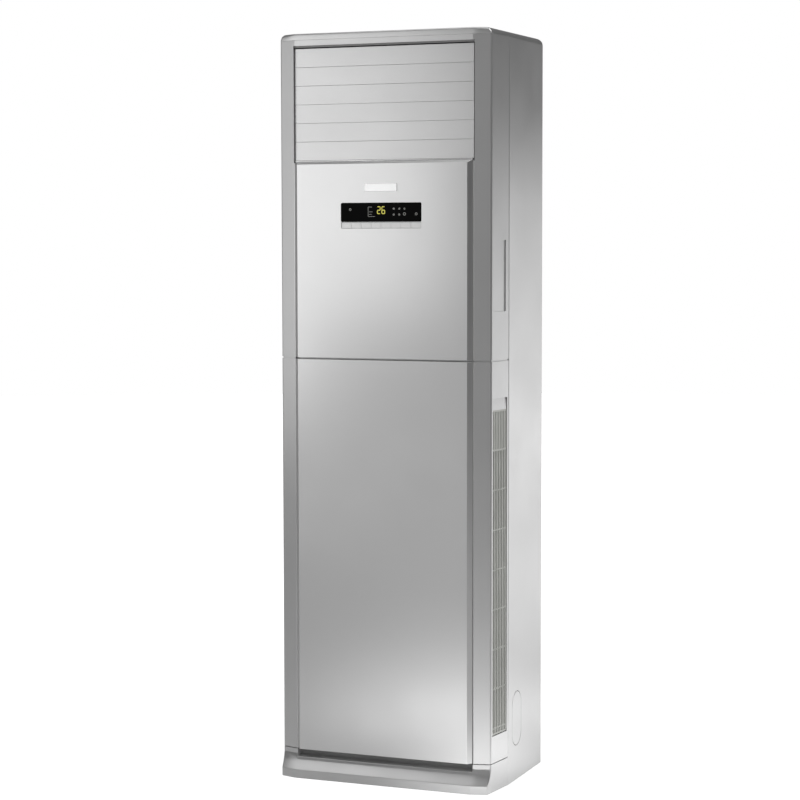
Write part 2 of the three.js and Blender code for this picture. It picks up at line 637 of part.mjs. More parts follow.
// ---------------------------------------------------------------- rear casing
// The rounded right rear corner in plan.
const rearArc = [0, 0.25, 0.5, 0.75, 1].map((part) => {
  const turn = (Math.PI / 2) * part;
  return [HALF - REAR_CORNER * (1 - Math.cos(turn)), BACK - REAR_CORNER * (1 - Math.sin(turn))];
});

function sidePanel() {
  const seam = STRIP_BACK + CLEAR;
  const flange = [HALF - FRONT_FLANGE, seam];
  const edge = roundedCorner(flange, [HALF, seam], [HALF, seam + 20], SEAM_EDGE, 4);
  const run = [flange, ...edge, ...rearArc, [HALF - REAR_FLANGE, BACK]];
  const sheet = raised(wallShape(run, 0, SHEET), 0, BODY_TOP);
  return cut(sheet, knockout(0, HALF - 10, HALF + 10));
}

// The obround pipe outlet low on the side, grown or shrunk by a margin.
function knockout(margin, x0, x1) {
  const radius = KNOCKOUT_WIDTH / 2;
  const middle = FRONT + KNOCKOUT_START + radius;
  const low = KNOCKOUT_BOTTOM + radius;
  const high = KNOCKOUT_BOTTOM + KNOCKOUT_HEIGHT - radius;
  const shape = new THREE.Shape();
  shape.absarc(middle, low, radius + margin, Math.PI, 2 * Math.PI);
  shape.absarc(middle, high, radius + margin, 0, Math.PI);
  return drawnAcross(shape, x0, x1, 8);
}

function backPanel() {
  const plate = block(-BACK_PANEL_HALF, BACK_PANEL_HALF, BACK_PANEL_FRONT, BACK_PANEL_REAR, 3, BODY_TOP);
  const hole = rod('y', GLAND_RADIUS - 2 + CLEAR, BACK_PANEL_FRONT - 5, BACK + 5, GLAND_X, GLAND_HEIGHT);
  return cut(plate, hole);
}

const rightSide = sidePanel();
place('side_panel_right', rightSide, silver);
place('side_panel_left', mirrored(rightSide), silver);
const pipeCover = knockout(-CLEAR, HALF - SHEET, HALF);
place('pipe_cover_right', pipeCover, silver);
place('pipe_cover_left', mirrored(pipeCover), silver);
place('back_panel', backPanel(), galvanised);

function cableGland() {
  const stem = GLAND_RADIUS - 2;
  const body = turned([[GLAND_BORE, BACK], [GLAND_BORE, BACK - GLAND_LENGTH], [stem, BACK - GLAND_LENGTH],
    [stem, BACK - SHEET], [GLAND_RADIUS, BACK - SHEET], [GLAND_RADIUS, BACK], [GLAND_BORE, BACK]], 16);
  return shifted(body, GLAND_X, 0, GLAND_HEIGHT);
}

place('cable_gland', cableGland(), darkPlastic);

function wallBracket() {
  const high = HEIGHT - BRACKET_DROP;
  const plate = block(-BRACKET_WIDTH / 2, BRACKET_WIDTH / 2, BACK - SHEET, BACK, high - BRACKET_HEIGHT, high);
  const hole = (x) => rod('y', 3.5, BACK - 5, BACK + 5, x, high - BRACKET_HEIGHT / 2, 12);
  return cut(plate, hole(-BRACKET_WIDTH / 3), hole(BRACKET_WIDTH / 3));
}

place('wall_bracket', wallBracket(), galvanised);

// ---------------------------------------------------------------- top cover
// The cover in plan: the side and rear edges roll in by one amount, the front edge by another.
function coverRing(rollSide, rollFront, z) {
  const run = frontRun(0, false);
  const front = run.slice(1, run.length / 2);
  const right = [...front.reverse(), ...rearArc].map(([x, y]) => {
    const inX = x <= BAY ? x : x - rollSide;
    return [inX, y > 0 ? y - rollSide : y + rollFront, z];
  });
  return [...right, ...right.map(([x, y, h]) => [-x, y, h]).reverse()];
}

function topCover() {
  const radius = TOP_COVER_HEIGHT;
  const fillet = TOP_FRONT_RADIUS;
  const roll = (r, climb) => r - Math.sqrt(Math.max(r * r - Math.max(climb, 0) ** 2, 0));
  const climbs = [0, 0.4, 0.7, 0.88, 0.96, 1].map((part) => part * radius);
  const dome = loft(climbs.map((climb) => coverRing(roll(radius, climb),
    roll(fillet, climb - radius + fillet), COVER_BOTTOM + climb)));
  const hollow = loft([-5, 0.35 * radius, radius - WALL].map((climb) => coverRing(
    WALL + roll(radius, climb), WALL, COVER_BOTTOM + climb)));
  return cut(dome, hollow);
}

place('top_cover', topCover(), silver);

// ---------------------------------------------------------------- front panels
// A folded tray: a flat face with bevelled edges that lies on the ledge of the casing.
function panelTray(bottom, top, topBevel) {
  const ring = (half, low, high, y) => {
    const points = [[-half, y, low], [half, y, low], [half, y, high], [-half, y, high]];
    points.flatAxis = 'y';
    return points;
  };
  const face = PANEL_HALF - PANEL_BEVEL;
  const slack = PANEL_SKIN * Math.tan(Math.PI / 8);
  const back = FRONT + PANEL_DEPTH;
  const outside = loft([
    ring(PANEL_HALF, bottom, top, back),
    ring(PANEL_HALF, bottom, top, FRONT),
    ring(face, bottom, top - topBevel, PANEL_FACE),
  ]);
  const innerTop = top - PANEL_SKIN;
  const inside = loft([
    ring(PANEL_HALF - PANEL_SKIN, bottom + PANEL_SKIN, innerTop, back + 5),
    ring(PANEL_HALF - PANEL_SKIN, bottom + PANEL_SKIN, innerTop, FRONT + slack),
    ring(face - slack, bottom + PANEL_SKIN, innerTop - topBevel, PANEL_FACE + PANEL_SKIN),
  ]);
  return cut(outside, inside);
}

const displayLeft = DISPLAY_OFFSET - DISPLAY_WIDTH / 2;
const displayRight = DISPLAY_OFFSET + DISPLAY_WIDTH / 2;
const displayTop = DISPLAY_BOTTOM + DISPLAY_HEIGHT;
const buttonTop = DISPLAY_BOTTOM - BUTTON_DROP;
const buttonPitch = (DISPLAY_WIDTH - 2 * BUTTON_ROW_MARGIN) / BUTTON_COUNT;
const buttonRow = BUTTON_COUNT * buttonPitch;

function roundedWindow(margin, y0, y1) {
  const [l, r] = [displayLeft - margin, displayRight + margin];
  const [b, t] = [DISPLAY_BOTTOM - margin, displayTop + margin];
  const c = DISPLAY_CORNER + margin;
  const shape = new THREE.Shape();
  shape.absarc(r - c, b + c, c, -Math.PI / 2, 0);
  shape.absarc(r - c, t - c, c, 0, Math.PI / 2);
  shape.absarc(l + c, t - c, c, Math.PI / 2, Math.PI);
  shape.absarc(l + c, b + c, c, Math.PI, 1.5 * Math.PI);
  return drawnBack(shape, y0, y1, 4);
}

function upperPanel() {
  const tray = panelTray(UPPER_BOTTOM, PANEL_TOP, PANEL_TOP_BEVEL);
  const window = roundedWindow(CLEAR, PANEL_FACE - 5, PANEL_FACE + 5);
  const slot = block(DISPLAY_OFFSET - buttonRow / 2 - BUTTON_GAP, DISPLAY_OFFSET + buttonRow / 2,
    PANEL_FACE - 5, PANEL_FACE + 5, buttonTop - BUTTON_HEIGHT - BUTTON_GAP, buttonTop);
  return cut(tray, window, slot);
}

place('upper_panel', upperPanel(), panelSilver);
place('lower_panel', panelTray(PLINTH_HEIGHT + PANEL_FOOT, LOWER_TOP, 0), panelSilver);

const badge = block(DISPLAY_OFFSET - BADGE_WIDTH / 2, DISPLAY_OFFSET + BADGE_WIDTH / 2,
  PANEL_FACE - CLEAR - BADGE_THICKNESS, PANEL_FACE - CLEAR, BADGE_BOTTOM, BADGE_BOTTOM + BADGE_HEIGHT);
place('badge_plate', badge, trimSilver);
place('display_window', roundedWindow(0, PANEL_FACE, PANEL_FACE + WINDOW_THICKNESS), blackGloss);

const boardFront = PANEL_FACE + BUTTON_RECESS + BUTTON_CAP + BUTTON_TRAVEL + 1.4;

function displayBoard() {
  const plate = block(displayLeft - BOARD_MARGIN, displayRight + BOARD_MARGIN, boardFront,
    boardFront + BOARD_THICKNESS, buttonTop - BUTTON_HEIGHT - BOARD_MARGIN, displayTop + BOARD_MARGIN);
  const middle = DISPLAY_BOTTOM + DISPLAY_HEIGHT / 2;
  const digits = block(DISPLAY_OFFSET - 30, DISPLAY_OFFSET + 30, PANEL_FACE + WINDOW_THICKNESS + CLEAR,
    boardFront + BOARD_THICKNESS / 2, middle - 14, middle + 14);
  const lamps = block(displayRight - 70, displayRight - 12, PANEL_FACE + WINDOW_THICKNESS + CLEAR,
    boardFront + BOARD_THICKNESS / 2, middle - 14, middle + 14);
  return joined(plate, digits, lamps);
}

place('display_board', displayBoard(), boardGreen);

// Push buttons: a cap in the slot of the panel, with a stem that reaches towards the board.
function pushButton() {
  const half = (buttonPitch - BUTTON_GAP) / 2;
  const cap = block(-half, half, 0, BUTTON_CAP, -BUTTON_HEIGHT / 2, BUTTON_HEIGHT / 2 - BUTTON_GAP);
  const stem = rod('y', 2.5, BUTTON_CAP / 2, BUTTON_CAP + 1, 0, 0, 8);
  return joined(cap, stem);
}

const buttonBody = pushButton();
for (let i = 0; i < BUTTON_COUNT; i += 1) {
  const button = place(`button_${i + 1}`, buttonBody, trimSilver);
  const x = DISPLAY_OFFSET + (i - (BUTTON_COUNT - 1) / 2) * buttonPitch - BUTTON_GAP / 2;
  button.position.set(x, PANEL_FACE + BUTTON_RECESS, buttonTop - BUTTON_HEIGHT / 2);
}

// ---------------------------------------------------------------- outlet duct and louvers
const louverZ = (i) => LOUVER_BOTTOM + LOUVER_PITCH * (LOUVER_COUNT - 0.5 - i);
const vanePitch = (2 * OUTLET_HALF) / VANE_COUNT;
const vaneX = (i) => (i - (VANE_COUNT - 1) / 2) * vanePitch;

function outletDuct() {
  const outer = OUTLET_HALF + DUCT_WALL;
  const front = LEDGE_BACK + CLEAR;
  const back = FRONT + DUCT_BACK;
  const frame = block(-outer, outer, front, back, OUTLET_BOTTOM - DUCT_WALL, OUTLET_TOP + DUCT_WALL);
  const cheek = block(OUTLET_HALF, outer, FRONT + DUCT_LIP, back, OUTLET_BOTTOM, OUTLET_TOP);
  const bore = block(-OUTLET_HALF, OUTLET_HALF, FRONT - 5, back + 5, OUTLET_BOTTOM, OUTLET_TOP);
  const tools = [bore];
  for (let i = 0; i < LOUVER_COUNT; i += 1) {
    tools.push(rod('x', PIN_RADIUS + CLEAR, -outer - 5, outer + 5, LOUVER_AXIS, louverZ(i), 12));
  }
  for (let i = 0; i < VANE_COUNT; i += 1) {
    tools.push(rod('z', VANE_PIN_RADIUS + CLEAR, OUTLET_BOTTOM - 10, OUTLET_TOP + 10,
      vaneX(i), FRONT + VANE_PIVOT_BACK, 12));
  }
  return cut(joined(frame, cheek, mirrored(cheek)), ...tools);
}

place('outlet_duct', outletDuct(), whitePlastic);

const bladeHalf = OUTLET_HALF - LOUVER_SIDE_GAP;
const crankTurn = radians(CRANK_ANGLE);
const crankPin = [CRANK_RADIUS * Math.cos(crankTurn), CRANK_RADIUS * Math.sin(crankTurn)];

// One blade about its own pivot: a flat slat, an ear at each end, pivot pins and one crank pin.
function louverBlade() {
  const half = (LOUVER_PITCH - LOUVER_GAP) / 2;
  const slat = block(-bladeHalf, bladeHalf, -PIVOT_BACK, -PIVOT_BACK + LOUVER_THICKNESS, -half, half);
  const [cy, cz] = crankPin;
  const root = -PIVOT_BACK + LOUVER_THICKNESS / 2;
  const outline = shapeOf([[root, -12], [0, -5.5], [cy + 4, cz - 4], [cy + 4, cz + 4],
    [cy - 5, cz + 5], [root, 14]]);
  const ear = drawnAcross(outline, bladeHalf - EAR_THICKNESS, bladeHalf);
  const pin = rod('x', PIN_RADIUS, bladeHalf - 1, bladeHalf + LOUVER_SIDE_GAP + DUCT_WALL - 0.2, 0, 0, 12);
  const crank = rod('x', CRANK_PIN_RADIUS, bladeHalf - 1, bladeHalf + LOUVER_SIDE_GAP - 0.8, cy, cz, 8);
  return joined(slat, ear, mirrored(ear), pin, mirrored(pin), crank);
}

const bladeBody = louverBlade();
for (let i = 0; i < LOUVER_COUNT; i += 1) {
  const louver = place(`louver_${i + 1}`, bladeBody, silver);
  louver.position.set(0, LOUVER_AXIS, louverZ(i));
}

function louverLink() {
  const x0 = bladeHalf + 0.8;
  const x1 = x0 + LINK_THICKNESS;
  const y = LOUVER_AXIS + crankPin[0];
  const pinZ = (i) => louverZ(i) + crankPin[1];
  const end = LINK_WIDTH / 2 + 1;
  const [lowest, highest] = [pinZ(LOUVER_COUNT - 1) - end, pinZ(0) + end];
  const bar = block(x0, x1, y - LINK_WIDTH / 2, y + LINK_WIDTH / 2, lowest, highest);
  const holes = [];
  for (let i = 0; i < LOUVER_COUNT; i += 1) {
    holes.push(rod('x', CRANK_PIN_RADIUS + CLEAR, x0 - 5, x1 + 5, y, pinZ(i), 8));
  }
  return cut(bar, ...holes);
}

place('louver_link', louverLink(), darkPlastic);

// A small geared motor: a round can with two ears and a short shaft, standing along +Z.
function stepMotor() {
  const can = rod('z', STEP_MOTOR_RADIUS, 0, STEP_MOTOR_LENGTH, 0, 0, 20);
  const ears = block(-STEP_MOTOR_RADIUS - 7, STEP_MOTOR_RADIUS + 7, -3.5, 3.5, 0, 1.5);
  const plug = block(-8, 8, STEP_MOTOR_RADIUS - 3, STEP_MOTOR_RADIUS + 3, 2, STEP_MOTOR_LENGTH - 2);
  return joined(can, ears, plug);
}

const louverMotor = place('louver_motor', stepMotor(), galvanised);
louverMotor.rotation.y = -Math.PI / 2;
louverMotor.position.set(-OUTLET_HALF - DUCT_WALL - CLEAR, LOUVER_AXIS + STEP_MOTOR_OFFSET, louverZ(2));

// One vane about its own axis, with a notch at the lower rear corner for the link bar.
const linkLow = OUTLET_BOTTOM + VANE_LINK_LIFT;
const vaneLow = OUTLET_BOTTOM + VANE_END_GAP;
const vaneHigh = OUTLET_TOP - VANE_END_GAP;

function vane() {
  const half = VANE_CHORD / 2;
  const shelf = vaneLow + VANE_NOTCH_HEIGHT;
  const outline = shapeOf([[-half, vaneLow], [VANE_NOTCH_START, vaneLow], [VANE_NOTCH_START, shelf],
    [half, shelf], [half, vaneHigh], [-half, vaneHigh]]);
  const plate = drawnAcross(outline, -VANE_THICKNESS / 2, VANE_THICKNESS / 2);
  const lowPin = rod('z', VANE_PIN_RADIUS, OUTLET_BOTTOM - DUCT_WALL + 0.2, vaneLow + 8, 0, 0, 10);
  const highPin = rod('z', VANE_PIN_RADIUS, vaneHigh - 8, OUTLET_TOP + DUCT_WALL - 0.2, 0, 0, 10);
  const crank = rod('z', CRANK_PIN_RADIUS, linkLow - 1, shelf + 8, 0, VANE_CRANK, 8);
  return joined(plate, lowPin, highPin, crank);
}

const vaneBody = vane();
for (let i = 0; i < VANE_COUNT; i += 1) {
  const mesh = place(`vane_${i + 1}`, vaneBody, whitePlastic);
  mesh.position.set(vaneX(i), FRONT + VANE_PIVOT_BACK, 0);
}

function vaneLink() {
  const y = FRONT + VANE_PIVOT_BACK + VANE_CRANK;
  const end = VANE_LINK_WIDTH / 2 + 1;
  const top = linkLow + VANE_LINK_THICKNESS;
  const bar = block(vaneX(0) - end, vaneX(VANE_COUNT - 1) + end, y - VANE_LINK_WIDTH / 2,
    y + VANE_LINK_WIDTH / 2, linkLow, top);
  const holes = [];
  for (let i = 0; i < VANE_COUNT; i += 1) {
    holes.push(rod('z', CRANK_PIN_RADIUS + CLEAR, linkLow - 5, top + 5, vaneX(i), y, 8));
  }
  return cut(bar, ...holes);
}

place('vane_link', vaneLink(), darkPlastic);

const vaneMotor = place('vane_motor', stepMotor(), galvanised);
vaneMotor.position.set(0, FRONT + VANE_PIVOT_BACK + STEP_MOTOR_OFFSET, OUTLET_TOP + DUCT_WALL + CLEAR);

// ---------------------------------------------------------------- intake grilles and filters
const grilleOuter = -GRILLE_INSET;
const grilleInner = grilleOuter - GRILLE_DEPTH;
const grilleLow = GRILLE_BOTTOM + GRILLE_FOOT_GAP;
const grilleHigh = GRILLE_TOP + SCOOP_HEIGHT - GRILLE_GAP;
const grilleFront = GRILLE_START + GRILLE_GAP;
const grilleBack = GRILLE_START + GRILLE_WIDTH - GRILLE_GAP;

function intakeGrille() {
  const plate = block(grilleInner, grilleOuter, grilleFront, grilleBack, grilleLow, GRILLE_TOP);
  // The scoop leans in as it rises, so a finger gets behind the edge of the casing.
  const lean = [[grilleOuter, GRILLE_TOP], [grilleOuter - SCOOP_DEPTH, grilleHigh],
    [grilleOuter - SCOOP_DEPTH - WALL, grilleHigh], [grilleInner, GRILLE_TOP - 1],
    [grilleOuter, GRILLE_TOP - 1]];
  const scoop = drawnBack(shapeOf(lean.reverse()), grilleFront, grilleBack);
  const slots = [];
  const slotLow = grilleLow + GRILLE_BORDER;
  const bayTop = GRILLE_TOP - RIB_PITCH - RIB_HEIGHT / 2;
  const usable = grilleBack - grilleFront - 2 * GRILLE_BORDER;
  const count = Math.floor((usable + SLAT_PITCH - SLAT_SLOT) / SLAT_PITCH);
  const first = (grilleFront + grilleBack) / 2 - ((count - 1) * SLAT_PITCH + SLAT_SLOT) / 2;
  for (let i = 0; i < count; i += 1) {
    const y = first + i * SLAT_PITCH;
    slots.push(block(grilleInner - 5, grilleOuter + 5, y, y + SLAT_SLOT, slotLow, bayTop));
    // The top bay is closed, and only grooved in line with the slots.
    slots.push(block(grilleOuter - BLIND_GROOVE, grilleOuter + 5, y, y + SLAT_SLOT,
      bayTop + RIB_HEIGHT, GRILLE_TOP - GRILLE_BORDER));
  }
  const ribs = [];
  for (let z = bayTop - RIB_PITCH; z > slotLow + RIB_HEIGHT; z -= RIB_PITCH) {
    ribs.push(block(grilleOuter - RIB_INSET - RIB_DEPTH, grilleOuter - RIB_INSET, grilleFront + 1,
      grilleBack - 1, z, z + RIB_HEIGHT));
  }
  const tab = (y) => block(-WALL - CLEAR - TAB_THICKNESS, -WALL - CLEAR, y, y + TAB_WIDTH,
    GRILLE_BOTTOM - TAB_HEIGHT, grilleLow + 2);
  const tabs = joined(tab(grilleFront + 6), tab(grilleBack - 6 - TAB_WIDTH));
  return onRightStrip(joined(cut(joined(plate, scoop), ...slots), ...ribs, tabs));
}

function airFilter() {
  const outer = grilleInner - CLEAR;
  const inner = outer - FILTER_THICKNESS;
  const [y0, y1] = [grilleFront + FILTER_MARGIN, grilleBack - FILTER_MARGIN];
  const [z0, z1] = [grilleLow + 3 * FILTER_MARGIN, GRILLE_TOP - 2 * FILTER_MARGIN];
  const frame = block(inner, outer, y0, y1, z0, z1);
  const rise = (z1 - z0) / FILTER_PANES;
  const panes = [];
  for (let i = 0; i < FILTER_PANES; i += 1) {
    const low = z0 + i * rise + FILTER_MARGIN;
    const high = z0 + (i + 1) * rise - FILTER_MARGIN;
    panes.push(block(inner - 5, inner + FILTER_THICKNESS / 2, y0 + 2 * FILTER_MARGIN,
      y1 - 2 * FILTER_MARGIN, low, high));
  }
  return onRightStrip(cut(frame, ...panes));
}

const grilleBody = intakeGrille();
const filterBody = airFilter();
place('intake_grille_right', grilleBody, grilleGrey);
place('intake_grille_left', mirrored(grilleBody), grilleGrey);
place('air_filter_right', filterBody, filterBlue);
place('air_filter_left', mirrored(filterBody), filterBlue);

// ---------------------------------------------------------------- fan scroll
// Front outline of the scroll: a growing spiral from the tongue round to the neck, then straight up.
function scrollOutline(margin) {
  const steps = 28;
  const sweep = TONGUE_ANGLE + 180;
  const points = [];
  for (let i = 0; i <= steps; i += 1) {
    const angle = radians(TONGUE_ANGLE - (sweep * i) / steps);
    const radius = SCROLL_START + ((SCROLL_END - SCROLL_START) * i) / steps + margin;
    points.push([radius * Math.cos(angle), FAN_HEIGHT + radius * Math.sin(angle)]);
  }
  const neckRight = SCROLL_START * Math.cos(radians(TONGUE_ANGLE)) + margin;
  const top = margin ? SCROLL_TOP : SCROLL_TOP + 5;
  points.push([-SCROLL_END - margin, top], [neckRight, top]);
  if (margin) points.push([neckRight, points[0][1]]);
  return shapeOf(points.reverse());
}

function fanScroll() {
  const back = SCROLL_BACK;
  const outside = drawnBack(scrollOutline(SCROLL_WALL), SCROLL_FRONT, back);
  const legTop = FAN_HEIGHT - WHEEL_RADIUS / 2;
  const legs = [-LEG_X, LEG_X].map((x) => block(x - SCROLL_WALL, x + SCROLL_WALL, SCROLL_FRONT + 8, back - 8,
    SHEET + CLEAR, legTop));
  const feet = [-LEG_X, LEG_X].map((x) => block(x - LEG_FOOT, x + LEG_FOOT, SCROLL_FRONT + 8, back - 8,
    SHEET + CLEAR, SHEET + CLEAR + SCROLL_WALL));
  const cavity = drawnBack(scrollOutline(0), SCROLL_FRONT + SCROLL_WALL, back - SCROLL_WALL);
  const eye = rod('y', EYE_RADIUS, SCROLL_FRONT - 5, SCROLL_FRONT + 10, 0, FAN_HEIGHT, 40);
  const rearHole = rod('y', REAR_HOLE_RADIUS, back - 10, back + 5, 0, FAN_HEIGHT, 24);
  return cut(joined(outside, ...legs, ...feet), cavity, eye, rearHole);
}

place('fan_scroll', fanScroll(), galvanised);

// Bell mouth that leads the air into the wheel.
function inletRing() {
  const seat = SCROLL_FRONT - CLEAR;
  const rim = EYE_RADIUS + BELL_FLANGE;
  const throatEnd = SCROLL_FRONT + SCROLL_WALL + 3;
  const profile = [[BELL_THROAT, throatEnd], [BELL_THROAT, SCROLL_FRONT]];
  const steps = 4;
  for (let i = 1; i <= steps; i += 1) {
    const turn = (Math.PI / 2) * (i / steps);
    profile.push([BELL_THROAT + BELL_RISE * (1 - Math.cos(turn)), seat - BELL_RISE * Math.sin(turn)]);
  }
  profile.push([BELL_THROAT + BELL_RISE + WALL, seat - BELL_RISE], [EYE_RADIUS + WALL + 3, seat - WALL],
    [rim, seat - WALL], [rim, seat], [BELL_THROAT + WALL, seat], [BELL_THROAT + WALL, throatEnd],
    [BELL_THROAT, throatEnd]);
  return shifted(turned(profile, 36), 0, 0, FAN_HEIGHT);
}

place('inlet_ring', inletRing(), darkPlastic);

// ---------------------------------------------------------------- fan wheel and motor
const wheelBack = SCROLL_BACK - SCROLL_WALL - WHEEL_REAR_GAP;
const wheelWidth = wheelBack - SCROLL_FRONT - SCROLL_WALL - WHEEL_FRONT_GAP;

// The wheel about its own axis, with y = 0 at the rear disc.
function fanWheel() {
  const disc = turned([[0, 0], [HUB_RADIUS + 30, -WHEEL_DISH], [WHEEL_RADIUS, -WHEEL_DISH],
    [WHEEL_RADIUS, -WHEEL_DISH - WHEEL_DISC], [HUB_RADIUS + 30, -WHEEL_DISH - WHEEL_DISC],
    [HUB_RADIUS, -HUB_LENGTH], [0, -HUB_LENGTH]], 36);
  const bore = rod('y', SHAFT_RADIUS + CLEAR, -HUB_LENGTH - 5, 5, 0, 0, 16);
  const [ringIn, ringBack] = [WHEEL_RADIUS - WHEEL_RING, -wheelWidth + WHEEL_DISC];
  const ring = turned([[ringIn, ringBack], [ringIn, -wheelWidth], [WHEEL_RADIUS, -wheelWidth],
    [WHEEL_RADIUS, ringBack], [ringIn, ringBack]], 36);
  // One blade: a forward curved strip between two arcs.
  const inner = WHEEL_RADIUS - WHEEL_BLADE_DEPTH;
  const curve = (offset) => [0, 0.5, 1].map((t) => {
    const radius = inner + (WHEEL_BLADE_DEPTH - 1) * t;
    const angle = -0.1 * (1 - (1 - t) ** 2) * 1.6;
    return [radius * Math.cos(angle), radius * Math.sin(angle) + offset];
  });
  const strip = shapeOf([...curve(0), ...curve(WHEEL_BLADE_THICKNESS).reverse()]);
  const blade = drawnBack(strip, -wheelWidth + WHEEL_DISC / 2, -WHEEL_DISH - WHEEL_DISC / 2);
  let wheel = joined(disc, ring);
  for (let i = 0; i < WHEEL_BLADES; i += 1) {
    wheel = wheel.add(moved(blade, new THREE.Matrix4().makeRotationY((2 * Math.PI * i) / WHEEL_BLADES)));
  }
  return cut(wheel, bore);
}

const impeller = place('impeller', fanWheel(), darkPlastic);
impeller.position.set(0, wheelBack, FAN_HEIGHT);

const plateFront = SCROLL_BACK + CLEAR;
const motorFront = plateFront + SCROLL_WALL + CLEAR;

function motorPlate() {
  const half = MOTOR_PLATE / 2;
  const plate = block(-half, half, plateFront, plateFront + SCROLL_WALL,
    FAN_HEIGHT - half, FAN_HEIGHT + half);
  return cut(plate, rod('y', SHAFT_RADIUS + 14, plateFront - 5, plateFront + 15, 0, FAN_HEIGHT, 20));
}

place('motor_bracket', motorPlate(), galvanised);

// Motor with its shaft and the nut that holds the wheel.
function fanMotor() {
  const tip = wheelBack - HUB_LENGTH - CLEAR;
  const end = motorFront + MOTOR_LENGTH;
  const profile = [[0, tip - NUT_LENGTH], [NUT_RADIUS, tip - NUT_LENGTH], [NUT_RADIUS, tip],
    [SHAFT_RADIUS, tip], [SHAFT_RADIUS, motorFront - 2], [18, motorFront - 2], [18, motorFront],
    [MOTOR_RADIUS - 6, motorFront], [MOTOR_RADIUS, motorFront + 6], [MOTOR_RADIUS, end - 10],
    [MOTOR_RADIUS - 18, end], [0, end]];
  return shifted(turned(profile, 28), 0, 0, FAN_HEIGHT);
}

place('fan_motor', fanMotor(), darkPlastic);

// ---------------------------------------------------------------- drain pan and hose
const curbLeft = -SCROLL_END;
const curbRight = SCROLL_START * Math.cos(radians(TONGUE_ANGLE));
const curbFront = SCROLL_FRONT + SCROLL_WALL;
const curbBack = SCROLL_BACK - SCROLL_WALL;

function drainPan() {
  const top = PAN_BOTTOM + PAN_HEIGHT;
  const tray = block(-PAN_HALF, PAN_HALF, PAN_FRONT, PAN_BACK, PAN_BOTTOM, top);
  const water = block(-PAN_HALF + PAN_WALL, PAN_HALF - PAN_WALL, PAN_FRONT + PAN_WALL,
    PAN_BACK - PAN_WALL, PAN_FLOOR, top + 5);
  const curb = block(curbLeft - PAN_WALL, curbRight + PAN_WALL, curbFront - PAN_WALL, curbBack + PAN_WALL,
    PAN_BOTTOM, PAN_FLOOR + PAN_CURB);
  const air = block(curbLeft, curbRight, curbFront, curbBack, PAN_BOTTOM - 5, top + 5);
  // The rear right corner is cut away so that the two pipes pass down beside the pan.
  const notchX = PIPE_X - GAS_RADIUS - PIPE_GAP;
  const notchY = LIQUID_Y - LIQUID_RADIUS - PIPE_GAP;
  const notch = block(notchX, PAN_HALF + 5, notchY, PAN_BACK + 5, PAN_BOTTOM - 5, top + 5);
  const lining = block(notchX - PAN_WALL, PAN_HALF + 5, notchY - PAN_WALL, PAN_BACK + 5, PAN_BOTTOM, top + 5);
  const spout = rod('z', SPOUT_RADIUS, PAN_BOTTOM - SPOUT_LENGTH, PAN_FLOOR - 1, SPOUT_X, SPOUT_Y, 12);
  const bore = rod('z', SPOUT_BORE, PAN_BOTTOM - SPOUT_LENGTH - 5, PAN_FLOOR + 5, SPOUT_X, SPOUT_Y, 12);
  return cut(joined(cut(tray, cut(water, curb, lining)), spout), air, notch, bore);
}

place('drain_pan', drainPan(), whitePlastic);

function drainHose() {
  const top = PAN_BOTTOM - 2;
  const end = KNOCKOUT_BOTTOM + KNOCKOUT_HEIGHT / 2;
  const middle = FRONT + KNOCKOUT_START + KNOCKOUT_WIDTH / 2;
  const sides = 10;
  const bore = (SPOUT_RADIUS + CLEAR) / Math.cos(Math.PI / sides);
  const route = [[SPOUT_X, SPOUT_Y, top], [SPOUT_X, SPOUT_Y, top - 60], [SPOUT_X, SPOUT_Y, (top + end) / 2],
    [SPOUT_X, SPOUT_Y, end + 120], [SPOUT_X, SPOUT_Y + 30, end + 30], [SPOUT_X, middle - 40, end],
    [SPOUT_X, middle, end]];
  return tube(route, bore + HOSE_WALL, bore, 16, sides);
}

place('drain_hose', drainHose(), rubberGrey);

// ---------------------------------------------------------------- cooling coil
// Things that lean with the coil are made upright about its foot, then tilted back.
function leaned(body, halfThickness) {
  const lean = COIL_LEAN;
  const footZ = PAN_FLOOR + CLEAR + halfThickness * Math.sin(lean);
  const tilt = new THREE.Matrix4().makeRotationX(-lean);
  return moved(body, tilt.setPosition(0, COIL_FOOT_Y, footZ));
}

const core = block(-COIL_HALF, COIL_HALF, -COIL_THICKNESS / 2, COIL_THICKNESS / 2, 0, COIL_LENGTH);
place('evaporator_core', leaned(core, COIL_THICKNESS / 2), aluminium);

// End plate with the return bends that stand out of it.
function coilEnd() {
  const x0 = COIL_HALF + CLEAR;
  const x1 = x0 + END_PLATE;
  const half = COIL_RIM;
  const plate = block(x0, x1, -half, half, 0, COIL_LENGTH);
  const spacing = COIL_LENGTH / BEND_COUNT;
  const bends = [];
  for (let i = 0; i < BEND_COUNT; i += 1) {
    const z = spacing * (i + 0.5);
    const arc = [[x1 - 1, -10, z - BEND_RADIUS]];
    for (let step = 0; step <= 4; step += 1) {
      const turn = (Math.PI * step) / 4;
      arc.push([x1 + 1 + BEND_RADIUS * Math.sin(turn), -10, z - BEND_RADIUS * Math.cos(turn)]);
    }
    arc.push([x1 - 1, -10, z + BEND_RADIUS]);
    bends.push(tube(arc, BEND_TUBE, 0, 7, 6));
  }
  return leaned(joined(plate, ...bends), half);
}

const coilEndBody = coilEnd();
place('evaporator_end_right', coilEndBody, copper);
place('evaporator_end_left', mirrored(coilEndBody), copper);

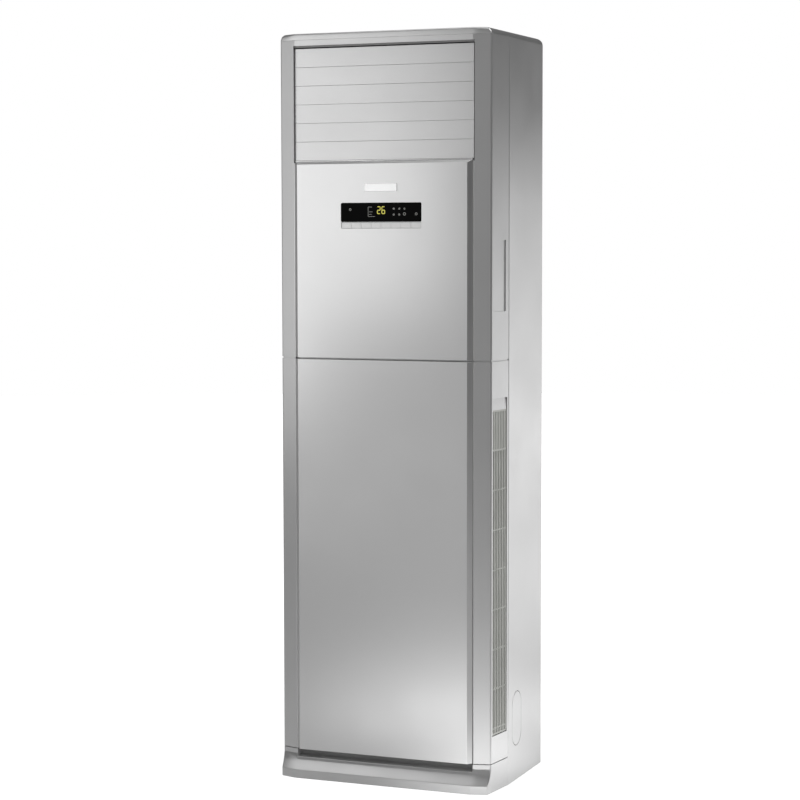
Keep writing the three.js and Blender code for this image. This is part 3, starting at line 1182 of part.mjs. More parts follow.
// A pipe from the end plate of the coil, out, back and down to a flare nut.
function refrigerantPipe(radius, y, along) {
  const lean = COIL_LEAN;
  const start = COIL_HALF + 2 * CLEAR + END_PLATE;
  const behind = COIL_THICKNESS / 2 - GAS_RADIUS;
  const y0 = COIL_FOOT_Y + along * Math.sin(lean) + behind * Math.cos(lean);
  const z0 = PAN_FLOOR + along * Math.cos(lean) - behind * Math.sin(lean);
  const turn = 2.2 * radius;
  const route = [[start, y0, z0], [start + 5, y0, z0], [PIPE_X - 2, y0 + 4, z0], [PIPE_X, y0 + turn, z0],
    [PIPE_X, (y0 + y) / 2, z0], [PIPE_X, y - turn, z0], [PIPE_X, y, z0 - turn], [PIPE_X, y, z0 - 3 * turn],
    [PIPE_X, y, (z0 + PIPE_END) / 2], [PIPE_X, y, PIPE_END + 20], [PIPE_X, y, PIPE_END]];
  const pipe = tube(route, radius, 0, 26, 8);
  const nut = rod('z', radius * 1.6, PIPE_END - 4, PIPE_END + 18, PIPE_X, y, 6);
  return joined(pipe, nut);
}

place('gas_pipe', refrigerantPipe(GAS_RADIUS, GAS_Y, COIL_LENGTH * 0.85), copper);
place('liquid_pipe', refrigerantPipe(LIQUID_RADIUS, LIQUID_Y, COIL_LENGTH * 0.4), copper);

// ---------------------------------------------------------------- electrics
const eboxFront = LEDGE_BACK + CLEAR;
const eboxHalf = SERVICE_HALF_WIDTH + EBOX_OVERLAP;

function electricBox() {
  const tray = block(-eboxHalf, eboxHalf, eboxFront, eboxFront + EBOX_DEPTH, EBOX_BOTTOM, EBOX_TOP);
  const hollow = block(-eboxHalf + EBOX_WALL + 6, eboxHalf - EBOX_WALL - 6, eboxFront - 5,
    eboxFront + EBOX_DEPTH - EBOX_WALL, EBOX_BOTTOM + EBOX_WALL + 6, EBOX_TOP - EBOX_WALL - 6);
  return cut(tray, hollow);
}

place('electric_box', electricBox(), galvanised);

const lidHalf = SERVICE_HALF_WIDTH - 2 * CLEAR;
const lid = block(-lidHalf, lidHalf, eboxFront - CLEAR - EBOX_WALL, eboxFront - CLEAR,
  EBOX_BOTTOM + EBOX_WALL, EBOX_TOP - EBOX_WALL);
place('electric_box_lid', lid, galvanised);

function terminalBlock() {
  const back = eboxFront + EBOX_DEPTH - EBOX_WALL - CLEAR;
  const front = back - TERMINAL_DEPTH;
  const low = EBOX_BOTTOM + TERMINAL_LIFT;
  const high = low + TERMINAL_HEIGHT;
  const body = block(-TERMINAL_WIDTH / 2, TERMINAL_WIDTH / 2, front, back, low, high);
  const pitch = TERMINAL_WIDTH / TERMINAL_WAYS;
  const slots = Array.from({ length: TERMINAL_WAYS }, (_, i) => {
    const x = (i - (TERMINAL_WAYS - 1) / 2) * pitch;
    return block(x - pitch / 3, x + pitch / 3, front - 5, front + 5, low + 4, high + 5);
  });
  return cut(body, ...slots);
}

place('terminal_block', terminalBlock(), darkPlastic);

export default cabinet;
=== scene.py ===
# %% [markdown]
# # A floor standing air conditioner in silver
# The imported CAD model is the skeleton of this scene: it says where every piece is and what it moves with.
# Each step below takes one part of the real cabinet, says what it is made of, and builds its looks round that
# skeleton. All sizes are metres in the CAD frame: +Z is up, the front panels face -Y.

# %% Load the frame
import json
import math
import bpy
import bmesh
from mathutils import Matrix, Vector


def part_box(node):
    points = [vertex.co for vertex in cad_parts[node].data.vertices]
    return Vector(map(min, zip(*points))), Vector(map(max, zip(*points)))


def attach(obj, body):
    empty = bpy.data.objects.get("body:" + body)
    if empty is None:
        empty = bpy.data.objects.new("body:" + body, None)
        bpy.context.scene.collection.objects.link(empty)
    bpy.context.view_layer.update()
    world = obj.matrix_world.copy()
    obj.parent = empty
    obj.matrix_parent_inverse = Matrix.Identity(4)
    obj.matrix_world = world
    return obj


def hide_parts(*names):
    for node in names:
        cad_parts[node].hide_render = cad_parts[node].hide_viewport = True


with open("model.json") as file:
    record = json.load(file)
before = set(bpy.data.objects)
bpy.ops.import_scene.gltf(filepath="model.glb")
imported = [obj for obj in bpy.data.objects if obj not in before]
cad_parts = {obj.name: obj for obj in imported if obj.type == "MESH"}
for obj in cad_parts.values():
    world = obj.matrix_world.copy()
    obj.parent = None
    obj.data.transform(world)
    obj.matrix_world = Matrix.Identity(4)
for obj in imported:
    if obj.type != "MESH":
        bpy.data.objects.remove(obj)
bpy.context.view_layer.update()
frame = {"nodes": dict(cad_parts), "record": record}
NODES = frame["nodes"]
RECORD = frame["record"]

# %% [markdown]
# ## The camera
# The picture was taken from the front right, a little under eye height for so tall a cabinet, with a long lens.
# The lens, place and turn below were solved from the straight edges of the cabinet, so the camera needs no shift:
# a tilt of four degrees keeps the verticals a little converging, as they are in the picture.

# %% Camera
camera_data = bpy.data.cameras.new("camera")
camera_data.sensor_width = 36.0
camera_data.lens = 36.0 * 2195.0 / 800.0
camera_data.clip_end = 60.0
camera = bpy.data.objects.new("camera", camera_data)
camera.location = (2.0666, -5.2171, 1.3684)
camera.rotation_euler = (math.radians(90.0 - 4.17), math.radians(0.09), math.radians(21.85))
bpy.context.scene.collection.objects.link(camera)
bpy.context.scene.camera = camera
bpy.context.scene.view_settings.view_transform = "Standard"
print("lens", round(camera_data.lens, 2), "mm")

# %% [markdown]
# ## The studio
# Silver paint shows its surroundings more than its own colour, so the room matters as much as the paint. The
# cabinet stands on a wide white floor in a dim room. Pools of light are painted on the floor and seen only in
# reflections: bright beside and behind the cabinet on the right, dim at the front left, which is why the foot of the
# panels darkens from right to left.
# Soft boxes close at the left give the upper panel its glow. The camera sees floor and room as plain white.

# %% Floor and room
ROOM_SHEEN = 0.08     # what a reflection sees of the room
ROOM_LIGHT = 0.23     # what lights matt surfaces from all round
FLOOR_RADIUS = 14.0
FLOOR_NEAR = 0.72     # own light of the floor for the camera, close to the cabinet and far away
FLOOR_FAR = 1.0
# Painted pools of light on the floor, which only reflections see: middle x and y, radius, strength.
PAINTED_FLOOR_GLOW = {
    "before_foot_right": (0.35, -0.45, 0.5, 1.15),
    "before_foot_middle": (-0.15, -1.1, 0.6, 1.2),
    "before_right": (0.35, -0.95, 0.7, 0.7),
    "before_far_left": (-3.5, -8.0, 6.0, 1.2),
    "beside_foot": (0.6, 0.1, 0.5, 1.2),
    "beside_near": (0.75, 0.75, 0.8, 0.95),
    "beside_back": (2.2, 2.6, 2.6, 1.2),
    "beside_far": (7.0, 9.0, 7.0, 1.2),
}


def light_path_value(nodes, links, outputs):
    """The largest of some outputs of a Light Path node."""
    path = nodes.new("ShaderNodeLightPath")
    value = path.outputs[outputs[0]]
    for other in outputs[1:]:
        larger = nodes.new("ShaderNodeMath")
        larger.operation = "MAXIMUM"
        links.new(value, larger.inputs[0])
        links.new(path.outputs[other], larger.inputs[1])
        value = larger.outputs[0]
    return value


def math_node(nodes, links, operation, first, second):
    node = nodes.new("ShaderNodeMath")
    node.operation = operation
    for socket, value in zip(node.inputs, (first, second)):
        if isinstance(value, (int, float)):
            socket.default_value = value
        else:
            links.new(value, socket)
    return node.outputs[0]


def fade(nodes, links, place, middle, reach, inside, outside):
    """A value that goes smoothly from inside to outside with the distance from a point."""
    away = nodes.new("ShaderNodeVectorMath")
    away.operation = "DISTANCE"
    away.inputs[1].default_value = middle
    links.new(place.outputs["Object"], away.inputs[0])
    steps = nodes.new("ShaderNodeMapRange")
    steps.interpolation_type = "SMOOTHSTEP"
    steps.inputs["From Min"].default_value = 0.0
    steps.inputs["From Max"].default_value = reach
    steps.inputs["To Min"].default_value = inside
    steps.inputs["To Max"].default_value = outside
    links.new(away.outputs["Value"], steps.inputs["Value"])
    return steps.outputs[0]


def floor_material():
    material = bpy.data.materials.new("floor_white")
    material.use_nodes = True
    material.cycles.emission_sampling = "NONE"
    nodes, links = material.node_tree.nodes, material.node_tree.links
    shader = nodes["Principled BSDF"]
    shader.inputs["Base Color"].default_value = (0.86, 0.86, 0.86, 1)
    shader.inputs["Roughness"].default_value = 0.9
    shader.inputs["Specular IOR Level"].default_value = 0.0
    shader.inputs["Emission Color"].default_value = (1, 1, 1, 1)
    place = nodes.new("ShaderNodeTexCoord")
    seen = light_path_value(nodes, links, ["Is Camera Ray", "Is Transmission Ray"])
    own = fade(nodes, links, place, (0, 0, 0), 3.2, FLOOR_NEAR, FLOOR_FAR)
    glow = 0.0
    # Each pool is painted light: a glow of the floor that only glossy rays see.
    for x, y, reach, strength in PAINTED_FLOOR_GLOW.values():
        pool = fade(nodes, links, place, (x, y, 0), reach, strength, 0.0)
        glow = math_node(nodes, links, "ADD", glow, pool)
    sheen = light_path_value(nodes, links, ["Is Glossy Ray"])
    total = math_node(nodes, links, "ADD", math_node(nodes, links, "MULTIPLY", seen, own),
                      math_node(nodes, links, "MULTIPLY", sheen, glow))
    links.new(total, shader.inputs["Emission Strength"])
    return material


rim = [(FLOOR_RADIUS * math.cos(math.tau * i / 96), FLOOR_RADIUS * math.sin(math.tau * i / 96), 0) for i in range(96)]
floor_mesh = bpy.data.meshes.new("floor")
floor_mesh.from_pydata(rim, [], [tuple(range(96))])
floor_mesh.materials.append(floor_material())
floor = bpy.data.objects.new("floor", floor_mesh)
bpy.context.scene.collection.objects.link(floor)


def room():
    world = bpy.data.worlds.new("room")
    world.use_nodes = True
    world.cycles.sampling_method = "NONE"
    nodes, links = world.node_tree.nodes, world.node_tree.links
    seen = light_path_value(nodes, links, ["Is Camera Ray", "Is Transmission Ray"])
    sheen = light_path_value(nodes, links, ["Is Glossy Ray"])
    dim = math_node(nodes, links, "ADD", ROOM_LIGHT, math_node(nodes, links, "MULTIPLY", sheen, ROOM_SHEEN - ROOM_LIGHT))
    rest = math_node(nodes, links, "MULTIPLY", dim, math_node(nodes, links, "SUBTRACT", 1.0, seen))
    links.new(math_node(nodes, links, "ADD", seen, rest), nodes["Background"].inputs["Strength"])
    nodes["Background"].inputs["Color"].default_value = (1, 1, 1, 1)
    return world


bpy.context.scene.world = room()
print("floor radius", FLOOR_RADIUS, "m,", len(PAINTED_FLOOR_GLOW), "pools of light")

# %% [markdown]
# ### Soft boxes
# Each box stands at a compass angle round the cabinet, 0 in front of it and 90 on its right, and faces it. A box
# close by gives a gradient across the panel, because each end of the panel sees another part of the room.

# %% Soft boxes
# angle, distance, height of its middle, width, height, radiance
SOFT_BOXES = {
    "left_20": (-20, 1.7, 1.75, 0.45, 1.2, 1.05),
    "left_36": (-36, 1.7, 1.55, 0.45, 1.4, 1.22),
    "left_54": (-54, 1.7, 1.5, 0.5, 1.5, 0.65),
    "front_right": (8, 5.5, 1.9, 1.8, 1.6, 0.28),
    "back_right": (150, 4.5, 0.9, 2.4, 1.6, 0.87),
    "back_left": (-112, 3.5, 1.1, 1.6, 2.2, 0.6),
}
# x, y, z, side, radiance
OVERHEADS = {
    "over_middle": (0.3, -1.0, 4.3, 3.0, 1.24),
    "over_right": (2.2, -0.8, 3.6, 1.8, 2.5),
}


def soft_box(name, place, aim, width, height, radiance):
    data = bpy.data.lights.new(name, "AREA")
    data.shape = "RECTANGLE"
    data.size, data.size_y = width, height
    data.energy = radiance * math.pi * width * height
    lamp = bpy.data.objects.new(name, data)
    lamp.location = place
    lamp.rotation_euler = (Vector(aim) - Vector(place)).to_track_quat("-Z", "Y").to_euler()
    lamp.visible_camera = False
    bpy.context.scene.collection.objects.link(lamp)
    return lamp


for name, (angle, distance, height, width, tall, radiance) in SOFT_BOXES.items():
    turn = math.radians(angle)
    soft_box(name, (distance * math.sin(turn), -distance * math.cos(turn), height), (0, 0, height), width, tall, radiance)
for name, (x, y, height, side, radiance) in OVERHEADS.items():
    soft_box(name, (x, y, height), (x, y, 0), side, side, radiance)
print("soft boxes", len(SOFT_BOXES) + len(OVERHEADS))

# %% [markdown]
# ## Finishes
# Every finish is a small tree of nodes on Object coordinates, so a pattern stays on its piece when the piece
# moves. One helper makes them all: a broad cloudiness for the colour, a fine grain for the bump, and a slow
# change of roughness where hands and cloths have been. What is the same all over is set on the shader itself.

# %% A helper for finishes
def linear(tone):
    """A grey or colour from 0 to 255, as the scene's linear light."""
    values = tone if isinstance(tone, tuple) else (tone, tone, tone)
    return tuple(((v / 255 + 0.055) / 1.055) ** 2.4 if v > 10 else v / 255 / 12.92 for v in values)


def finish(name, tone, roughness, metallic=0.0, cloud=0.03, cloud_size=0.25, grain=0.12, grain_size=0.0012,
           wear=0.04, coat=0.0, stretch=(1, 1, 1), detail=3.0):
    material = bpy.data.materials.new(name)
    material.use_nodes = True
    nodes, links = material.node_tree.nodes, material.node_tree.links
    shader = nodes["Principled BSDF"]
    shader.inputs["Metallic"].default_value = metallic
    shader.inputs["Coat Weight"].default_value = coat
    shader.inputs["Coat Roughness"].default_value = 0.12
    place = nodes.new("ShaderNodeTexCoord")
    mapping = nodes.new("ShaderNodeMapping")
    mapping.inputs["Scale"].default_value = stretch
    links.new(place.outputs["Object"], mapping.inputs["Vector"])

    def noise(size, levels):
        texture = nodes.new("ShaderNodeTexNoise")
        texture.inputs["Scale"].default_value = 1.0 / size
        texture.inputs["Detail"].default_value = levels
        links.new(mapping.outputs[0], texture.inputs["Vector"])
        return texture.outputs["Fac"]

    def spread(value, low, high):
        steps = nodes.new("ShaderNodeMapRange")
        steps.inputs["From Min"].default_value = 0.3
        steps.inputs["From Max"].default_value = 0.7
        steps.inputs["To Min"].default_value = low
        steps.inputs["To Max"].default_value = high
        links.new(value, steps.inputs["Value"])
        return steps.outputs[0]

    base = linear(tone)
    blend = nodes.new("ShaderNodeMix")
    blend.data_type = "RGBA"
    blend.inputs["A"].default_value = (*[c * (1 - cloud) for c in base], 1)
    blend.inputs["B"].default_value = (*[min(c * (1 + cloud), 1) for c in base], 1)
    links.new(spread(noise(cloud_size, 2.0), 0, 1), blend.inputs["Factor"])
    links.new(blend.outputs["Result"], shader.inputs["Base Color"])
    links.new(spread(noise(cloud_size * 0.4, 3.0), roughness - wear, roughness + wear), shader.inputs["Roughness"])
    if grain:
        bump = nodes.new("ShaderNodeBump")
        bump.inputs["Strength"].default_value = grain
        bump.inputs["Distance"].default_value = grain_size * 0.4
        links.new(noise(grain_size, detail), bump.inputs["Height"])
        links.new(bump.outputs["Normal"], shader.inputs["Normal"])
    return material


def glowing(name, colour, strength):
    """A symbol lit from behind: its light is a little uneven, like a lamp behind a printed film."""
    material = finish(name, colour, 0.4, 0.0, 0.2, 0.004, 0.0)
    nodes, links = material.node_tree.nodes, material.node_tree.links
    shader = nodes["Principled BSDF"]
    links.new(shader.inputs["Base Color"].links[0].from_socket, shader.inputs["Emission Color"])
    shader.inputs["Emission Strength"].default_value = strength
    return material


# %% [markdown]
# ### Paints, plastics and metals of this cabinet
# The panels are sheet with a fine metallic paint. The columns, the plinth and the louvers are moulded and painted
# in the same silver, a little duller. Inside there are galvanised sheet, copper, aluminium and plain plastics.

# %% The finishes
PANEL_PAINT = finish("panel_paint", 224, 0.3, 0.92, 0.012, 0.35, 0.04, 0.0009, 0.02)
CASE_PAINT = finish("case_paint", 218, 0.36, 0.85, 0.012, 0.3, 0.05, 0.001, 0.02)
SHEET_PAINT = finish("sheet_paint", 222, 0.36, 0.85, 0.015, 0.3, 0.08, 0.0018, 0.03)
BRIGHT_TRIM = finish("bright_trim", 250, 0.22, 0.7, 0.01, 0.05, 0.03, 0.0008, 0.02)
KEY_PLASTIC = finish("key_plastic", 248, 0.35, 0.2, 0.01, 0.03, 0.05, 0.0006, 0.02)
# The slot's grey is painted shade: it sets how dark the plinth's slot reads where no light falls in.
SLOT_SHADOW = finish("slot_plastic", 188, 0.6, 0.0, 0.05, 0.1, 0.1, 0.0012, 0.05)
# A darker, duller copy of the casing silver for the slats: painted shade of the slatted part.
GRILLE_SHADED_SILVER = finish("grille_paint", (202, 203, 198), 0.45, 0.5, 0.03, 0.12, 0.1, 0.0012, 0.05)
BLACK_GLASS = finish("black_window", 2, 0.12, 0.0, 0.3, 0.05, 0.01, 0.002, 0.03)
BLACK_GLASS.node_tree.nodes["Principled BSDF"].inputs["Specular IOR Level"].default_value = 0.04
LIT_YELLOW = glowing("lit_yellow", (196, 190, 84), 0.5)
LIT_GREY = glowing("lit_grey", (150, 150, 146), 0.22)
WHITE_PLASTIC = finish("white_plastic", 222, 0.45, 0.0, 0.02, 0.2, 0.12, 0.0015, 0.06)
DARK_PLASTIC = finish("dark_plastic", 52, 0.5, 0.0, 0.08, 0.1, 0.15, 0.0012, 0.06)
# The two seal greys below are painted shade: they set how dark the joints beside the panels and the blades read.
PANEL_SEAL_SHADE = finish("seal_foam", 186, 0.8, 0.0, 0.06, 0.05, 0.3, 0.0015, 0.05)
OUTLET_SEAL_SHADE = finish("grey_plastic", 150, 0.5, 0.0, 0.04, 0.2, 0.12, 0.0015, 0.05)
GALVANISED = finish("galvanised_sheet", 190, 0.38, 0.85, 0.1, 0.018, 0.05, 0.003, 0.1, detail=0.0)
COPPER = finish("drawn_copper", (206, 128, 92), 0.3, 1.0, 0.08, 0.03, 0.04, 0.002, 0.08)
ALUMINIUM = finish("fin_aluminium", 206, 0.36, 1.0, 0.06, 0.05, 0.05, 0.0015, 0.08)
BRASS = finish("nut_brass", (214, 178, 96), 0.28, 1.0, 0.06, 0.02, 0.04, 0.001, 0.06)
MOTOR_PAINT = finish("motor_paint", 62, 0.42, 0.2, 0.05, 0.06, 0.2, 0.0016, 0.05)
BOARD_GREEN = finish("board_green", (34, 96, 60), 0.35, 0.0, 0.1, 0.01, 0.06, 0.0006, 0.05, coat=0.4)
FILTER_NET = finish("filter_net", (184, 186, 182), 0.75, 0.0, 0.08, 0.03, 0.2, 0.0006, 0.05)
HOSE_RUBBER = finish("hose_rubber", 168, 0.6, 0.0, 0.06, 0.05, 0.12, 0.001, 0.06)
SCREW_STEEL = finish("screw_steel", 176, 0.3, 1.0, 0.08, 0.01, 0.04, 0.0005, 0.06)
print("finishes", len([m for m in bpy.data.materials if m.use_nodes]))

# %% [markdown]
# ## Softened edges
# No moulded or folded edge is perfectly sharp: each has a small radius that catches a thin line of light. The
# CAD solids have sharp edges, so a copy of the solid is cleaned to flat faces, every fold is bevelled by a
# real radius, and the copy stands in for the solid.

# %% Helpers that turn a CAD solid into a softened piece
BODY_OF = {node: body for body, members in RECORD["behaviour"]["bodies"].items() for node in members}


def new_piece(name, mesh):
    piece = bpy.data.objects.new(name, mesh)
    bpy.context.scene.collection.objects.link(piece)
    return piece


def applied(piece):
    """The piece with its modifiers made part of a plain mesh."""
    bpy.context.view_layer.update()
    seen = piece.evaluated_get(bpy.context.evaluated_depsgraph_get())
    mesh = bpy.data.meshes.new_from_object(seen)
    mesh.name = piece.name
    piece.modifiers.clear()
    old = piece.data
    piece.data = mesh
    if old.users == 0:
        bpy.data.meshes.remove(old)
    return piece


def clean_copy(node):
    mesh = NODES[node].data.copy()
    mesh.materials.clear()
    work = bmesh.new()
    work.from_mesh(mesh)
    bmesh.ops.remove_doubles(work, verts=work.verts, dist=1e-5)
    bmesh.ops.dissolve_limit(work, angle_limit=math.radians(0.6), verts=work.verts, edges=work.edges)
    work.to_mesh(mesh)
    work.free()
    return mesh


def smooth_shaded(mesh, angle=38):
    mesh.shade_smooth()
    mesh.set_sharp_from_angle(angle=math.radians(angle))


def to_soften(edge):
    """Whether an edge is a real fold: a sharp one, or a shallow one between two wide faces."""
    if len(edge.link_faces) != 2:
        return False
    turn = edge.calc_face_angle()
    widths = [f.calc_area() / max(e.calc_length() for e in f.edges) for f in edge.link_faces]
    return turn > math.radians(30) or (turn > math.radians(8) and min(widths) > 0.005)


def softened(node, material, radius, segments=2, reshape=None):
    """Copy of a CAD node with every fold rounded; reshape can first move its corners a little."""
    piece = new_piece(node + "_skin", clean_copy(node))
    if reshape:
        for corner in piece.data.vertices:
            reshape(corner.co)
    work = bmesh.new()
    work.from_mesh(piece.data)
    folds = [e for e in work.edges if to_soften(e)]
    bmesh.ops.bevel(work, geom=folds, offset=radius, segments=segments, profile=0.5, clamp_overlap=True,
                    affect="EDGES")
    work.to_mesh(piece.data)
    work.free()
    smooth_shaded(piece.data)
    weigh = piece.modifiers.new("flat", "WEIGHTED_NORMAL")
    weigh.keep_sharp = True
    weigh.weight = 90
    applied(piece)
    piece.data.materials.clear()
    piece.data.materials.append(material)
    return piece


def belongs_with(piece, node):
    """The piece moves with a CAD node and takes its material slot."""
    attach(piece, BODY_OF[node])
    return piece


def stands_for(piece, *nodes):
    belongs_with(piece, nodes[0])
    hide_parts(*nodes)
    return piece


# %% [markdown]
# ### What repeats
# Screws, fins and strands are one shape many times over. Two small trees of Geometry Nodes do that: one sets a
# copy on every point of a mesh, the other sets copies along a straight row. Each result becomes a plain mesh.

# %% Trees for repeats
def copies_tree(name, along_row):
    tree = bpy.data.node_groups.new(name, "GeometryNodeTree")
    tree.is_modifier = True
    tree.interface.new_socket("Points", in_out="INPUT", socket_type="NodeSocketGeometry")
    tree.interface.new_socket("Piece", in_out="INPUT", socket_type="NodeSocketObject")
    tree.interface.new_socket("Turn", in_out="INPUT", socket_type="NodeSocketVector")
    tree.interface.new_socket("Finish", in_out="INPUT", socket_type="NodeSocketMaterial")
    if along_row:
        tree.interface.new_socket("Count", in_out="INPUT", socket_type="NodeSocketInt")
        tree.interface.new_socket("Start", in_out="INPUT", socket_type="NodeSocketVector")
        tree.interface.new_socket("Step", in_out="INPUT", socket_type="NodeSocketVector")
    tree.interface.new_socket("Copies", in_out="OUTPUT", socket_type="NodeSocketGeometry")
    nodes, links = tree.nodes, tree.links
    start = nodes.new("NodeGroupInput")
    end = nodes.new("NodeGroupOutput")
    source = nodes.new("GeometryNodeObjectInfo")
    links.new(start.outputs["Piece"], source.inputs["Object"])
    spread = nodes.new("GeometryNodeInstanceOnPoints")
    if along_row:
        row = nodes.new("GeometryNodeMeshLine")
        row.mode = "OFFSET"
        links.new(start.outputs["Count"], row.inputs["Count"])
        links.new(start.outputs["Start"], row.inputs["Start Location"])
        links.new(start.outputs["Step"], row.inputs["Offset"])
        links.new(row.outputs["Mesh"], spread.inputs["Points"])
    else:
        links.new(start.outputs["Points"], spread.inputs["Points"])
    links.new(source.outputs["Geometry"], spread.inputs["Instance"])
    links.new(start.outputs["Turn"], spread.inputs["Rotation"])
    real = nodes.new("GeometryNodeRealizeInstances")
    links.new(spread.outputs["Instances"], real.inputs["Geometry"])
    paint = nodes.new("GeometryNodeSetMaterial")
    links.new(real.outputs["Geometry"], paint.inputs["Geometry"])
    links.new(start.outputs["Finish"], paint.inputs["Material"])
    links.new(paint.outputs["Geometry"], end.inputs["Copies"])
    return tree


ON_POINTS = copies_tree("copies_on_points", False)
IN_A_ROW = copies_tree("copies_in_a_row", True)


def copies(name, tree, template, material, points=(), **values):
    """Copies of a template mesh, set by one of the two trees, as one plain piece."""
    host = bpy.data.meshes.new(name)
    host.from_pydata([tuple(p) for p in points], [], [])
    piece = new_piece(name, host)
    source = new_piece(name + "_template", template)
    modifier = piece.modifiers.new("copies", "NODES")
    modifier.node_group = tree
    values.update(Piece=source, Finish=material)
    for socket in tree.interface.items_tree:
        if socket.in_out == "INPUT" and socket.name in values:
            modifier[socket.identifier] = values[socket.name]
    applied(piece)
    bpy.data.objects.remove(source)
    return piece


def mesh_from(name, build):
    work = bmesh.new()
    build(work)
    mesh = bpy.data.meshes.new(name)
    bmesh.ops.recalc_face_normals(work, faces=work.faces)
    work.to_mesh(mesh)
    work.free()
    return mesh


def screw_head(radius, height):
    """A low pan head with a cross recess; it points along +Z and stands on z = 0."""
    sides = 24
    profile = [(0.24, 1.0), (0.5, 0.97), (0.8, 0.78), (1.0, 0.3), (1.0, 0.0)]

    def build(work):
        rings = []
        for reach, rise in profile:
            ring = []
            for i in range(sides):
                turn = math.tau * i / sides
                in_cross = i % 6 == 0 and reach < 0.6
                z = height * (0.35 if in_cross else rise)
                ring.append(work.verts.new((radius * reach * math.cos(turn), radius * reach * math.sin(turn), z)))
            rings.append(ring)
        middle = work.verts.new((0, 0, height * 0.25))
        base = work.verts.new((0, 0, 0))
        for i in range(sides):
            j = (i + 1) % sides
            work.faces.new((middle, rings[0][i], rings[0][j]))
            work.faces.new((base, rings[-1][j], rings[-1][i]))
            for low, high in zip(rings, rings[1:]):
                work.faces.new((low[i], high[i], high[j], low[j]))

    return mesh_from("screw_head", build)


BACKWARDS = (math.radians(-90), 0, 0)   # turns +Z to +Y
FORWARDS = (math.radians(90), 0, 0)     # turns +Z to -Y
UPRIGHT = (0, 0, 0)


def screws(name, node, spots, turn, radius=0.0035, height=0.0013, material=SCREW_STEEL):
    piece = copies(name, ON_POINTS, screw_head(radius, height), material, spots, Turn=turn)
    smooth_shaded(piece.data, 50)
    return belongs_with(piece, node)


print("trees", ON_POINTS.name, IN_A_ROW.name)

# %% [markdown]
# ## The painted shell
# Two moulded front casings with angled columns, the plinth they stand on, the rear sheets and the top cover. All
# are painted; the flat panels shine a little more than the mouldings.
#
# The side strips lean inwards towards the front. Places on them are counted outwards from their face and
# backwards along it. Small things are shaped here as the picture shows them: the joints of the casings are a fine
# groove, the hand grips are shallow, and the finger plate over each grille leans in by less.

# %% Places on the side strips
case_low, case_high = (Vector(c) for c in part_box("upper_casing"))
STRIP_TURN = math.atan2(0.012, 0.0939)
OUTWARD = Vector((math.cos(STRIP_TURN), -math.sin(STRIP_TURN)))
ALONG = Vector((math.sin(STRIP_TURN), math.cos(STRIP_TURN)))


def on_strip(corner):
    """How far a point is outside the face of its strip, and how far behind the strip's rear edge."""
    place = Vector((abs(corner.x) - case_high.x, corner.y - case_high.y))
    return place.dot(OUTWARD), place.dot(ALONG)


def shift_on_strip(corner, outwards, backwards):
    step = OUTWARD * outwards + ALONG * backwards
    corner.x += math.copysign(step.x, corner.x)
    corner.y += step.y


JOINT = 0.0012        # width of the groove at a joint of two casings
GRIP_SPAN = (0.118, 0.294)  # foot and head of the grip over the foot of the upper casing
GRIP_RISE = 0.0065    # the finger pocket is this much shallower than in the solid


def shaped_upper(corner):
    outside, behind = on_strip(corner)
    height = corner.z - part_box("upper_panel")[0][2]
    if GRIP_SPAN[0] < height < GRIP_SPAN[1] and -0.0095 < outside < -0.0085:
        shift_on_strip(corner, GRIP_RISE, 0)
    if abs(behind) < 0.001 and outside > -0.004:
        corner.y -= JOINT


def shaped_lower(corner):
    outside, behind = on_strip(corner)
    if abs(behind) < 0.001 and outside > -0.004:
        corner.y -= JOINT
    if corner.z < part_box("lower_casing")[0][2] + 0.0005:
        corner.z += JOINT


def shaped_cover(corner):
    low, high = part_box("pipe_cover_right")
    corner.y += math.copysign(0.0008, (low[1] + high[1]) / 2 - corner.y)
    corner.z += math.copysign(0.0008, (low[2] + high[2]) / 2 - corner.z)


# %% Shell pieces
for node, material, radius, reshape in (
        ("upper_casing", CASE_PAINT, 0.0008, shaped_upper), ("lower_casing", CASE_PAINT, 0.0008, shaped_lower),
        ("top_cover", CASE_PAINT, 0.0008, None),
        ("side_panel_left", SHEET_PAINT, 0.0004, None), ("side_panel_right", SHEET_PAINT, 0.0004, None),
        ("upper_panel", PANEL_PAINT, 0.0009, None), ("lower_panel", PANEL_PAINT, 0.0009, None),
        ("back_panel", GALVANISED, 0.0004, None),
        ("pipe_cover_left", SHEET_PAINT, 0.0004, shaped_cover),
        ("pipe_cover_right", SHEET_PAINT, 0.0004, shaped_cover)):
    skin = stands_for(softened(node, material, radius, 2, reshape), node)
    print(node, len(skin.data.polygons), "faces")

# %% [markdown]
# ### Plinth
# The plinth is one moulding with a hollow front. Its slot lets air in under the lower panel; the slot's inside
# takes a grey of its own, painted shade set so that the slot reads as a grey line across the whole front.

# %% Plinth with its dark slot
plinth = stands_for(softened("plinth_cover", CASE_PAINT, 0.001), "plinth_cover")
plinth.data.materials.append(SLOT_SHADOW)
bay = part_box("upper_panel")[1][0] + 0.0016
plinth_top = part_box("plinth_cover")[1][2]
front_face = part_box("upper_casing")[0][1]
dark = 0
# Faces inside the slot take the painted shade.
for face in plinth.data.polygons:
    x, y, z = face.center
    if abs(x) < bay and y > front_face - 0.0008 and plinth_top - 0.0215 < z < plinth_top - 0.0004:
        face.material_index = 1
        dark += 1
print("faces of the slot", dark)

# %% [markdown]
# ## Louvers and vanes
# Six flat blades close the outlet. Each is a thin moulding with a rounded edge, an ear at each end and a pin.
# Five upright vanes behind them turn the air sideways. A bar links each set, and a small geared motor drives it.

